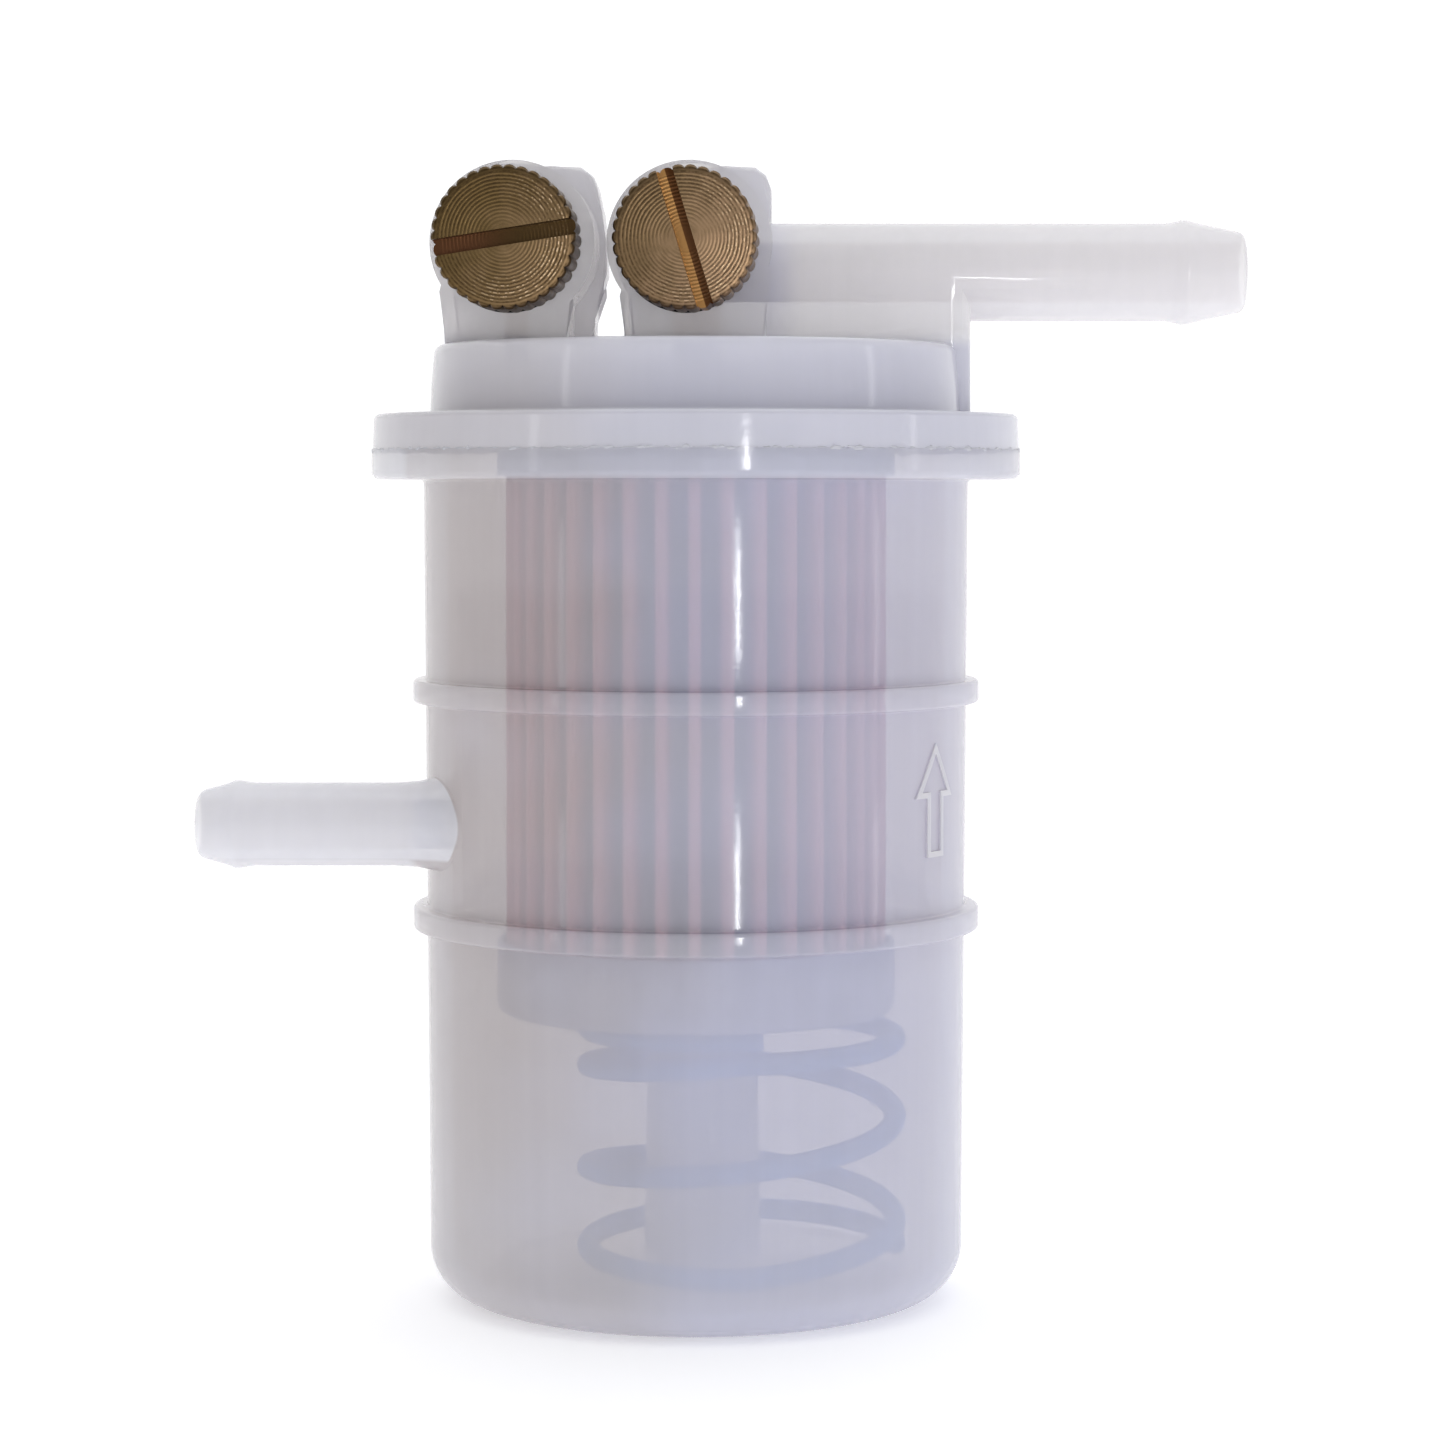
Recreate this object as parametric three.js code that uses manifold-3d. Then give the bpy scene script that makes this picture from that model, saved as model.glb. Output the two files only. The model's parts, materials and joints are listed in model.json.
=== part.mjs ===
// In-line liquid filter with a sprung pleated element and a magnet post, in millimetres, +Z up.
// The origin is the middle of the bowl's underside. +X runs along the outlet pipe, -Y is the side of the screws.
import * as THREE from "three";
import { mergeVertices } from "three/addons/utils/BufferGeometryUtils.js";
import Module from "manifold-3d";

const wasm = await Module();
wasm.setup();

// ---- driving dimensions ----
const ROUND = 48; // facets of a large round
const SMALL_ROUND = 24; // facets of a small round
const FIT = 0.05; // gap left between pieces that bear on each other

const BOWL_RADIUS = 25; // under the flange
const BOWL_FOOT_RADIUS = 24.45; // just over the corner round
const BOWL_CORNER = 4.8;
const WALL = 2.1;
const FLOOR = 2;
const WELD_Z = 77.5; // plane where bowl and cap are welded
const FLANGE_RADIUS = 30;
const BOWL_FLANGE_Z = 74.85;
const CAP_FLANGE_Z = 80.8;
const RIB_RADIUS = 26;
const RIB_HEIGHT = 2.1;
const RIB_ZS = [33.8, 54.5];

const CAP_RADIUS = 24.7;
const CAP_TOP = 87.2;
const CAP_PLATE = 2.2;
const SPIGOT_RADIUS = 4.5;
const SPIGOT_END = 71;
const SEAT_RIB = [5.6, 7.2]; // inner and outer radius of the ring that the gasket seals on

const INLET = { y: -8, z: 43.8, radius: 3.75, bore: 2.25, bead: 3.95, end: -44.9 };
const OUTLET = { z: 93.9, radius: 4.5, bore: 2.75, bead: 4.8, end: 50.7, nose: 3.65 };
const PEDESTAL = { end: 25.1, half: 4.5, corner: 2 };

const LUG = { z: 96.3, radius: 7.5, front: 5.5, back: 5.5, rear: 4.5 };
const LUG_TURN = THREE.MathUtils.degToRad(-2.5); // screw axes are turned a little about Z
const LEFT_X = -16.4;
const RIGHT_X = -0.35;

const SCREW = { head: 6.45, root: 6.1, teeth: 34, headLength: 7.35, shank: 3.95, shankLength: 3.9 };
const SCREW_HOLE = { radius: 4.05, depth: 4.3 };
const VENT_RADIUS = 1.1;
const SLOT = { width: 1.5, depth: 1.6 };
const SLOT_ANGLES = { left: 8.8, right: 106.8 }; // degrees from level, seen from the front
const WASHER = { inner: 4.35, outer: 6.25, thickness: 0.8, shift: [-0.25, -0.12] };

const ELEMENT_RADIUS = 18.3;
const ELEMENT_BASE = 26;
const ELEMENT_TOP = 77.6;
const SHEET = 0.6; // end cap metal
const LOWER_SKIRT = 6; // height of the lower end cap's rim over its plate
const UPPER_SKIRT = 1.8;
const LOWER_BOND = 2;
const UPPER_BOND = 1.6;
const PLEATS = { count: 36, outer: 17.55, inner: 7.5, paper: 0.4, half: 0.55 };
const CORE = { outer: 7, inner: 6.4, holes: 6, rows: 3, hole: 1.6 };
const SEAM_CLIP = { pleat: 9, depth: 5.5, sheet: 0.3, low: 34, high: 74.5 };
const GASKET = { inner: 4.75, outer: 9.5 };

const POST = { x: 0.6, low: 5.4, high: 5.1, top: 22, foot: 19, footHeight: 0.7, wall: 0.9 };
const MAGNET = { radius: 4.1, length: 16.5 };
const POLE_DISC = 1.2;
const SPRING = { wire: 1, radius: 14.2, x: 4.2, turns: [-0.7, 3] };

// ---- shared shape helpers ----
// A closed geometry as a solid, turned right side out.
function solid(geometry) {
  const bare = geometry.index ? geometry.toNonIndexed() : geometry.clone();
  bare.deleteAttribute("normal");
  bare.deleteAttribute("uv");
  const merged = mergeVertices(bare, 1e-4);
  const triVerts = new Uint32Array(merged.index.array);
  const vertProperties = merged.attributes.position.array;
  const made = new wasm.Manifold(new wasm.Mesh({ numProp: 3, vertProperties, triVerts }));
  if (made.volume() > 0) return made;
  triVerts.reverse();
  return new wasm.Manifold(new wasm.Mesh({ numProp: 3, vertProperties, triVerts }));
}

// A solid as a geometry with flat faces.
function geometryOf(body) {
  const mesh = body.getMesh();
  const geometry = new THREE.BufferGeometry();
  geometry.setAttribute("position", new THREE.BufferAttribute(mesh.vertProperties, 3));
  geometry.setIndex(new THREE.BufferAttribute(mesh.triVerts, 1));
  const flat = geometry.toNonIndexed();
  flat.computeVertexNormals();
  return flat;
}

// Turns an [r, z] profile about Z. It starts and ends on the axis, or closes on itself.
function turned(profile, segments = ROUND) {
  const points = profile.map(([r, z]) => new THREE.Vector2(r, z));
  return solid(new THREE.LatheGeometry(points, segments).rotateX(Math.PI / 2));
}

// A tube or washer between two radii and two heights.
function ring(inner, outer, low, high, segments = ROUND) {
  const profile = [[inner, low], [outer, low], [outer, high], [inner, high], [inner, low]];
  return turned(profile, segments);
}

// A plain rod along Z.
function rod(radius, low, high, segments = SMALL_ROUND) {
  return turned([[0, low], [radius, low], [radius, high], [0, high]], segments);
}

// Points of an arc in a profile, about a centre, from one angle to another in degrees.
function arc(centre, radius, from, to, steps) {
  return Array.from({ length: steps + 1 }, (_, i) => {
    const angle = THREE.MathUtils.degToRad(from + ((to - from) * i) / steps);
    return [centre[0] + radius * Math.cos(angle), centre[1] + radius * Math.sin(angle)];
  });
}

// An outline in the XY plane pulled up along Z.
function pulled(outline, low, high) {
  const shape = new THREE.Shape(outline.map(([x, y]) => new THREE.Vector2(x, y)));
  const geometry = new THREE.ExtrudeGeometry(shape, { depth: high - low, bevelEnabled: false });
  return solid(geometry.translate(0, 0, low));
}

// Lays a solid's own Z along X.
const alongX = (body) => body.rotate([0, 90, 0]);

// Stands a solid's own XY plane upright, with its Z pointing out to the front, on a screw axis.
function onScrewAxis(body, x) {
  const turn = THREE.MathUtils.radToDeg(LUG_TURN);
  return body.rotate([90, 0, 0]).rotate([0, 0, turn]).translate([x, 0, LUG.z]);
}

const object = new THREE.Group();

function addNode(name, body, colour, roughness, metalness = 0, parent = object) {
  const material = new THREE.MeshStandardMaterial({ color: colour, roughness, metalness });
  const mesh = new THREE.Mesh(geometryOf(body), material);
  mesh.name = name;
  parent.add(mesh);
}

const NYLON = 0xd4d5de;
const BRASS = 0x8b7153;
const RUBBER = 0x22221f;
const STEEL = 0x9fa4ac;
const PAPER = 0xc9a9a2;
const RESIN = 0xa98f86;

// ---- bowl: the lower moulding, with its ribs, inlet barb and flow arrow ----
function pipeProfile(pipe, start, noseLength, noseRadius) {
  const end = Math.abs(pipe.end);
  const neck = end - noseLength;
  return [
    [0, start],
    [pipe.radius, start],
    [pipe.radius, neck - 2],
    [pipe.bead, neck - 0.9],
    [pipe.bead, neck + 0.5],
    [noseRadius + 0.4, end - 0.4],
    [noseRadius, end],
    [0, end],
  ];
}

function outerRadius(z) {
  const share = (z - BOWL_CORNER) / (BOWL_FLANGE_Z - BOWL_CORNER);
  return BOWL_FOOT_RADIUS + (BOWL_RADIUS - BOWL_FOOT_RADIUS) * share;
}

// Outline of an upright arrow: x across, y up, from its foot.
const ARROW = { height: 10.1, head: 4.8, headHalf: 3.3, shaftHalf: 1.45, foot: 41.3, azimuth: 59, line: 0.55 };

function arrowOutline(inset) {
  const neck = ARROW.height - ARROW.head + inset;
  const slope = ARROW.headHalf / ARROW.head;
  const tip = ARROW.height - inset * Math.hypot(1, 1 / slope);
  const half = (tip - neck) * slope;
  const shaft = ARROW.shaftHalf - inset;
  return [[-shaft, inset], [shaft, inset], [shaft, neck], [half, neck], [0, tip], [-half, neck], [-shaft, neck]];
}

function flowArrow() {
  const proud = 0.3;
  const line = pulled(arrowOutline(0), 0, 6).subtract(pulled(arrowOutline(ARROW.line), -1, 7));
  const upright = line.rotate([90, 0, 0]).translate([0, -outerRadius(ARROW.foot) + 4, ARROW.foot]);
  const shell = rod(outerRadius(ARROW.foot) + proud, ARROW.foot - 1, ARROW.foot + ARROW.height + 1, ROUND);
  return upright.rotate([0, 0, ARROW.azimuth]).intersect(shell);
}

function makeBowl() {
  const rib = (z) => [
    [outerRadius(z), z],
    [RIB_RADIUS, z + 0.2],
    [RIB_RADIUS, z + RIB_HEIGHT - 0.2],
    [outerRadius(z + RIB_HEIGHT), z + RIB_HEIGHT],
  ];
  const inside = BOWL_CORNER - WALL;
  const footInside = BOWL_FOOT_RADIUS - WALL;
  const outside = arc([BOWL_FOOT_RADIUS - BOWL_CORNER, BOWL_CORNER], BOWL_CORNER, -90, 0, 5);
  const lining = arc([footInside - inside, FLOOR + inside], inside, 0, -90, 3);
  const body = turned([
    [0, 0],
    ...outside,
    ...RIB_ZS.flatMap(rib),
    [BOWL_RADIUS, BOWL_FLANGE_Z],
    [FLANGE_RADIUS - 0.5, BOWL_FLANGE_Z],
    [FLANGE_RADIUS, BOWL_FLANGE_Z + 0.5],
    [FLANGE_RADIUS, WELD_Z],
    [BOWL_RADIUS - WALL, WELD_Z],
    ...lining,
    [0, FLOOR],
  ]);
  const toInlet = (part) => alongX(part).rotate([0, 0, 180]).translate([0, INLET.y, INLET.z]);
  const pipe = toInlet(turned(pipeProfile(INLET, 21, 2.6, 2.9), SMALL_ROUND));
  const bore = toInlet(rod(INLET.bore, 16, -INLET.end + 1));
  return body.add(pipe).add(flowArrow()).subtract(bore);
}

addNode("bowl", makeBowl(), NYLON, 0.35);

// ---- cap: the upper moulding, with its spigot, outlet barb and two screw lugs ----
// Outline of a lug from its axis: a round eye on a neck that stands on the cap.
function eyeOutline(neckLeft, neckRight) {
  const foot = CAP_TOP - 1 - LUG.z;
  const leftAngle = neckLeft < -LUG.radius ? 180 : 180 + THREE.MathUtils.radToDeg(Math.acos(-neckLeft / LUG.radius));
  const rightAngle = -THREE.MathUtils.radToDeg(Math.acos(Math.min(1, neckRight / LUG.radius)));
  return [[neckLeft, foot], [neckRight, foot], ...arc([0, 0], LUG.radius, rightAngle, leftAngle, 22)];
}

// The rear of each lug carries a squared corner at its upper outlet side.
const REAR_CORNER = [[0, 0], [7.4, 0], [7.2, 2.8], [6.7, 5.2], [6.3, 6.7], [5.3, 7.45], [2.4, 7.5], [0, 7.4]];

function makeLug(x, neckLeft, neckRight) {
  const eye = pulled(eyeOutline(neckLeft, neckRight), -LUG.back, LUG.front);
  const rear = pulled(REAR_CORNER, -LUG.back, LUG.rear - LUG.back);
  return onScrewAxis(eye.add(rear), x);
}

function makePedestal() {
  const { end, half, corner } = PEDESTAL;
  const outline = [
    [0, -half],
    ...arc([end - corner, corner - half], corner, -90, 0, 5),
    ...arc([end - corner, half - corner], corner, 0, 90, 5),
    [0, half],
  ];
  return pulled(outline, CAP_TOP - 1, OUTLET.z);
}

function makeCap() {
  const ceiling = CAP_TOP - CAP_PLATE;
  const inside = BOWL_RADIUS - WALL;
  const body = turned([
    [0, SPIGOT_END],
    [SPIGOT_RADIUS - 0.6, SPIGOT_END],
    [SPIGOT_RADIUS, SPIGOT_END + 0.8],
    [SPIGOT_RADIUS, ceiling],
    [SEAT_RIB[0], ceiling],
    [SEAT_RIB[0], ELEMENT_TOP + 2.4],
    [SEAT_RIB[1], ELEMENT_TOP + 2.4],
    [SEAT_RIB[1], ceiling],
    ...arc([inside - 1.5, ceiling - 1.5], 1.5, 90, 0, 3),
    [inside, WELD_Z],
    [FLANGE_RADIUS, WELD_Z],
    [FLANGE_RADIUS, CAP_FLANGE_Z - 0.3],
    [FLANGE_RADIUS - 0.3, CAP_FLANGE_Z],
    [CAP_RADIUS, CAP_FLANGE_Z],
    [CAP_RADIUS, CAP_TOP - 2.3],
    [CAP_RADIUS - 0.2, CAP_TOP - 1.2],
    [CAP_RADIUS - 0.7, CAP_TOP - 0.2],
    [CAP_RADIUS - 1.1, CAP_TOP],
    [0, CAP_TOP],
  ]);
  const toOutlet = (part) => alongX(part).translate([0, 0, OUTLET.z]);
  const pipe = toOutlet(turned(pipeProfile(OUTLET, 0, 5.4, OUTLET.nose), SMALL_ROUND));
  const full = body
    .add(makePedestal())
    .add(makeLug(LEFT_X, -6.5, 4.8))
    .add(makeLug(RIGHT_X, -6.2, 6.7))
    .add(pipe);
  const duct = rod(2.2, SPIGOT_END - 1, OUTLET.z).translate([0, 0.8, 0]);
  const bore = toOutlet(rod(OUTLET.bore, -2, OUTLET.end + 1));
  const hole = rod(SCREW_HOLE.radius, LUG.front - SCREW_HOLE.depth, LUG.front + 1);
  const leftVent = rod(VENT_RADIUS, ceiling - 1, LUG.z).translate([LEFT_X, -LUG.front + 2.5, 0]);
  const rightVent = rod(VENT_RADIUS, 0, 2.5).rotate([90, 0, 0]).translate([RIGHT_X, 0, OUTLET.z + 1.2]);
  return full
    .subtract(duct)
    .subtract(bore)
    .subtract(onScrewAxis(hole, LEFT_X))
    .subtract(onScrewAxis(hole, RIGHT_X))
    .subtract(leftVent)
    .subtract(rightVent);
}

addNode("cap", makeCap(), NYLON, 0.35);

// ---- bleed screws: slotted brass heads with a straight knurl, each with a rubber washer ----
function knurledOutline() {
  return Array.from({ length: SCREW.teeth * 2 }, (_, i) => {
    const angle = (Math.PI * i) / SCREW.teeth;
    const radius = i % 2 ? SCREW.root : SCREW.head;
    return [radius * Math.cos(angle), radius * Math.sin(angle)];
  });
}

function makeScrew(slotDegrees) {
  const under = WASHER.thickness + 2 * FIT;
  const face = under + SCREW.headLength;
  const tip = under - SCREW.shankLength;
  const shank = turned([
    [0, tip - 0.8],
    [SCREW.shank - 0.7, tip - 0.8],
    [SCREW.shank, tip],
    [SCREW.shank, under + 1],
    [0, under + 1],
  ], SMALL_ROUND);
  const head = pulled(knurledOutline(), under, face);
  const half = SLOT.width / 2;
  const cut = pulled([[-9, -half], [9, -half], [9, half], [-9, half]], face - SLOT.depth, face + 1);
  return head.add(shank).subtract(cut).rotate([0, 0, slotDegrees]);
}

function makeWasher() {
  const [x, y] = WASHER.shift;
  return ring(WASHER.inner, WASHER.outer, FIT, FIT + WASHER.thickness, SMALL_ROUND).translate([x, y, 0]);
}

for (const [side, x] of Object.entries({ left: LEFT_X, right: RIGHT_X })) {
  const station = new THREE.Group();
  const out = LUG.front;
  station.position.set(x + Math.sin(LUG_TURN) * out, -Math.cos(LUG_TURN) * out, LUG.z);
  station.rotation.set(Math.PI / 2, 0, LUG_TURN, "ZYX");
  addNode(side + "_bleed_screw", makeScrew(SLOT_ANGLES[side]), BRASS, 0.35, 1, station);
  addNode(side + "_sealing_washer", makeWasher(), RUBBER, 0.8, 0, station);
  object.add(station);
}

// ---- filter element: pleated paper on a perforated core, between two end caps ----
const lowerPlate = ELEMENT_BASE + SHEET;
const paperLow = lowerPlate + LOWER_BOND;
const upperPlate = ELEMENT_TOP - SHEET;
const paperHigh = upperPlate - UPPER_BOND;

const lowerCap = turned([
  [0, ELEMENT_BASE],
  [ELEMENT_RADIUS - 0.5, ELEMENT_BASE],
  [ELEMENT_RADIUS, ELEMENT_BASE + 0.5],
  [ELEMENT_RADIUS, lowerPlate + LOWER_SKIRT],
  [ELEMENT_RADIUS - SHEET, lowerPlate + LOWER_SKIRT],
  [ELEMENT_RADIUS - SHEET, lowerPlate],
  [0, lowerPlate],
]);
const upperCap = turned([
  [GASKET.inner + 0.15, upperPlate],
  [ELEMENT_RADIUS - SHEET, upperPlate],
  [ELEMENT_RADIUS - SHEET, upperPlate - UPPER_SKIRT],
  [ELEMENT_RADIUS, upperPlate - UPPER_SKIRT],
  [ELEMENT_RADIUS, ELEMENT_TOP],
  [GASKET.inner + 0.15, ELEMENT_TOP],
  [GASKET.inner + 0.15, upperPlate],
]);

// One edge of the folded paper seen from above: every pleat is a slim finger of constant width.
function fingers(low, high, half) {
  return Array.from({ length: PLEATS.count }, (_, k) => {
    const middle = (2 * Math.PI * k) / PLEATS.count;
    return [[low, -half], [high, -half], [high, half], [low, half]].map(([radius, side]) => {
      const angle = middle + Math.asin(side / radius);
      return new THREE.Vector2(radius * Math.cos(angle), radius * Math.sin(angle));
    });
  }).flat();
}

function pleatedRing() {
  const { outer, inner, paper, half } = PLEATS;
  const shape = new THREE.Shape(fingers(inner + paper, outer, half));
  shape.holes.push(new THREE.Path(fingers(inner, outer - paper, half - paper)));
  const geometry = new THREE.ExtrudeGeometry(shape, { depth: paperHigh - paperLow, bevelEnabled: false });
  return solid(geometry.translate(0, 0, paperLow));
}

// The core is pierced by staggered rows of round holes.
function coreTube() {
  let tube = ring(CORE.inner, CORE.outer, paperLow, paperHigh, SMALL_ROUND);
  const rowPitch = (paperHigh - paperLow) / CORE.rows;
  for (let row = 0; row < CORE.rows; row++) {
    for (let k = 0; k < CORE.holes; k++) {
      const drill = rod(CORE.hole, CORE.inner - 1, CORE.outer + 1, 6);
      const angle = (360 * (k + (row % 2) / 2)) / CORE.holes;
      tube = tube.subtract(alongX(drill).rotate([0, 0, angle]).translate([0, 0, paperLow + rowPitch * (row + 0.5)]));
    }
  }
  return tube;
}

// A bent strip that grips the joined ends of the paper, over the crest of one pleat.
function seamClip() {
  const { depth, sheet, low, high } = SEAM_CLIP;
  const inner = PLEATS.half + FIT;
  const outer = inner + sheet;
  const crest = PLEATS.outer + FIT;
  const foot = PLEATS.outer - depth;
  const outline = [
    [foot, -outer], [crest + sheet, -outer], [crest + sheet, outer], [foot, outer],
    [foot, inner], [crest, inner], [crest, -inner], [foot, -inner],
  ];
  return pulled(outline, low, high).rotate([0, 0, (360 * SEAM_CLIP.pleat) / PLEATS.count]);
}

const bondRadius = ELEMENT_RADIUS - SHEET - FIT;
addNode("element_gasket", ring(GASKET.inner, GASKET.outer, ELEMENT_TOP, ELEMENT_TOP + 2.4 - FIT), RUBBER, 0.8);
addNode("element_top_cap", upperCap, STEEL, 0.4, 1);
addNode("top_bond", ring(GASKET.inner + 0.4, bondRadius, paperHigh, upperPlate), RESIN, 0.6);
addNode("pleated_paper", pleatedRing(), PAPER, 0.9);
addNode("pleat_seam_clip", seamClip(), STEEL, 0.4, 1);
addNode("core_tube", coreTube(), STEEL, 0.4, 1);
addNode("bottom_bond", rod(bondRadius, lowerPlate, paperLow, ROUND), RESIN, 0.6);
addNode("element_bottom_cap", lowerCap, STEEL, 0.4, 1);

// ---- spring: closed at the top, flat at the bottom, right-handed ----
class SpringCurve extends THREE.Curve {
  // Height of the wire's centre after a number of turns from the front: a flat foot, open coils, a closed top.
  height(turn) {
    const low = FLOOR + POST.footHeight + SPRING.wire + FIT;
    const high = ELEMENT_BASE - SPRING.wire - FIT;
    const closed = high - 2 * SPRING.wire - FIT;
    if (turn < 0) return low;
    if (turn < 2) return low + ((closed - low) * turn) / 2;
    return closed + (high - closed) * (turn - 2);
  }

  getPoint(t) {
    const [first, last] = SPRING.turns;
    const turn = first + (last - first) * t;
    const angle = -Math.PI / 2 + 2 * Math.PI * turn;
    const x = SPRING.x + SPRING.radius * Math.cos(angle);
    return new THREE.Vector3(x, SPRING.radius * Math.sin(angle), this.height(turn));
  }
}

const wireSection = new THREE.Shape();
wireSection.absarc(0, 0, SPRING.wire, 0, 2 * Math.PI);
const spring = new THREE.ExtrudeGeometry(wireSection, {
  extrudePath: new SpringCurve(),
  steps: 66,
  curveSegments: 4,
});
addNode("spring", solid(spring), STEEL, 0.35, 1);

// ---- magnet post: a moulded sleeve held down by the spring, with a bar magnet inside ----
const footTop = FLOOR + POST.footHeight;
const pocketTop = POST.top - POST.wall;
const holder = turned([
  [MAGNET.radius + FIT, FLOOR],
  [POST.foot, FLOOR],
  [POST.foot, footTop],
  [POST.low, footTop],
  [POST.high, POST.top - 0.8],
  [POST.high - 0.8, POST.top],
  [0, POST.top],
  [0, pocketTop],
  [MAGNET.radius + FIT, pocketTop],
  [MAGNET.radius + FIT, FLOOR],
]);
const discLow = pocketTop - FIT - POLE_DISC;
const onPost = (body) => body.translate([POST.x, 0, 0]);
addNode("magnet_holder", onPost(holder), NYLON, 0.4);
addNode("pole_disc", onPost(rod(MAGNET.radius, discLow, pocketTop - FIT)), STEEL, 0.4, 1);
addNode("bar_magnet", onPost(rod(MAGNET.radius, discLow - MAGNET.length, discLow)), STEEL, 0.3, 1);

export default object;
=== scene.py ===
"""A translucent in-line filter with a sprung paper element, a magnet post and two brass bleed screws.

The sections follow the filter as it is put together: bowl, magnet post, spring, element, cap, weld,
washers, screws.
Lengths in a section are in millimetres, and become metres where a mesh is made.
"""
import json
import math

import bmesh
import bpy
from mathutils import Matrix, Vector


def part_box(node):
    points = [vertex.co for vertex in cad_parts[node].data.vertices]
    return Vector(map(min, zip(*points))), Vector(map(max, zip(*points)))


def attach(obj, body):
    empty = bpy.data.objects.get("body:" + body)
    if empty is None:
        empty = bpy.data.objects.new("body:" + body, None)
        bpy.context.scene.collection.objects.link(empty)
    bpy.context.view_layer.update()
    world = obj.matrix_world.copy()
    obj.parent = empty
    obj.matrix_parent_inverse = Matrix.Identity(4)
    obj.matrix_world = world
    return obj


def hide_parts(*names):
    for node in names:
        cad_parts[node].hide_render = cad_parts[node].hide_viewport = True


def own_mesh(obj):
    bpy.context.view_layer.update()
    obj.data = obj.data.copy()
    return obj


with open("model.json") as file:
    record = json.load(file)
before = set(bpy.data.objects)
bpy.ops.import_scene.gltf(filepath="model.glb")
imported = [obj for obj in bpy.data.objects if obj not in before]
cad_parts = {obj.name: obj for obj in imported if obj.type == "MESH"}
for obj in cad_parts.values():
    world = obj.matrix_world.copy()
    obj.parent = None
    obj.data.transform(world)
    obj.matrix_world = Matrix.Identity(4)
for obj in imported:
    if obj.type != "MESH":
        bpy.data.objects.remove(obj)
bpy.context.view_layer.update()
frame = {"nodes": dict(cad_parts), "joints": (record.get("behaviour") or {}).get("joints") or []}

# ------------------------------------------------------------------------------------------------
# Bowl: the lower half of the housing, injection moulded in one shot from milky nylon. It carries
# two hoops, the lower weld flange, the inlet barb and a raised arrow that shows the flow.
# ------------------------------------------------------------------------------------------------
MM = 0.001
FINE_TURN = 160


def node_box(node):
    """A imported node's lowest and highest corners, in millimetres."""
    low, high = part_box(node)
    return low / MM, high / MM


def arc(centre, radius, start, end, steps):
    """Points of an arc, from one angle to another in degrees."""
    angles = [math.radians(start + (end - start) * i / steps) for i in range(steps + 1)]
    return [(centre[0] + radius * math.cos(a), centre[1] + radius * math.sin(a)) for a in angles]


def piece_from(form, name, smooth_degrees=35):
    """Turns a bmesh in millimetres into an object in metres, smooth except at its real edges."""
    bmesh.ops.remove_doubles(form, verts=form.verts, dist=1e-5)
    bmesh.ops.recalc_face_normals(form, faces=form.faces)
    bmesh.ops.scale(form, vec=(MM, MM, MM), verts=form.verts)
    mesh = bpy.data.meshes.new(name)
    form.to_mesh(mesh)
    form.free()
    mesh.shade_smooth()
    mesh.set_sharp_from_angle(angle=math.radians(smooth_degrees))
    piece = bpy.data.objects.new(name, mesh)
    bpy.context.scene.collection.objects.link(piece)
    return piece


def turned(profile, steps=FINE_TURN, closed=False):
    """Turns a profile of (radius, height) about Z. A closed profile makes a ring."""
    form = bmesh.new()
    rings = []
    for radius, height in profile:
        count = 1 if radius < 1e-6 else steps
        angles = [2 * math.pi * k / steps for k in range(count)]
        rings.append([form.verts.new((radius * math.cos(a), radius * math.sin(a), height)) for a in angles])
    pairs = list(zip(rings, rings[1:])) + ([(rings[-1], rings[0])] if closed else [])
    for lower, upper in pairs:
        for k in range(steps):
            corners = [lower[k % len(lower)], lower[(k + 1) % len(lower)]]
            corners += [upper[(k + 1) % len(upper)], upper[k % len(upper)]]
            kept = list(dict.fromkeys(corners))
            if len(kept) > 2:
                form.faces.new(kept)
    return form


def pulled(outline, low, high):
    """Pulls an outline in the XY plane up along Z."""
    form = bmesh.new()
    floor = [form.verts.new((x, y, low)) for x, y in outline]
    roof = [form.verts.new((x, y, high)) for x, y in outline]
    form.faces.new(reversed(floor))
    form.faces.new(roof)
    for k in range(len(outline)):
        after = (k + 1) % len(outline)
        form.faces.new((floor[k], floor[after], roof[after], roof[k]))
    return form


def placed(form, *moves):
    """Moves a bmesh by each matrix in turn."""
    for move in moves:
        bmesh.ops.transform(form, matrix=move, verts=form.verts)
    return form


def turn(degrees, axis):
    return Matrix.Rotation(math.radians(degrees), 4, axis)


def shift(x, y, z):
    return Matrix.Translation((x, y, z))


def join_and_cut(body, joins=(), cuts=(), smooth_degrees=35):
    """Joins solids to a body, then cuts others from it, and leaves one clean mesh."""
    for other, operation in [(o, "UNION") for o in joins] + [(o, "DIFFERENCE") for o in cuts]:
        modifier = body.modifiers.new("fit", "BOOLEAN")
        modifier.object = other
        modifier.operation = operation
        modifier.solver = "EXACT"
    shapes = bpy.context.evaluated_depsgraph_get()
    mesh = bpy.data.meshes.new_from_object(body.evaluated_get(shapes), depsgraph=shapes)
    body.modifiers.clear()
    body.data = mesh
    for other in list(joins) + list(cuts):
        bpy.data.objects.remove(other)
    tidy = bmesh.new()
    tidy.from_mesh(mesh)
    bmesh.ops.remove_doubles(tidy, verts=tidy.verts, dist=1e-6)
    bmesh.ops.dissolve_degenerate(tidy, edges=tidy.edges, dist=1e-7)
    tidy.to_mesh(mesh)
    tidy.free()
    mesh.shade_smooth()
    mesh.set_sharp_from_angle(angle=math.radians(smooth_degrees))
    return body


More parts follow.
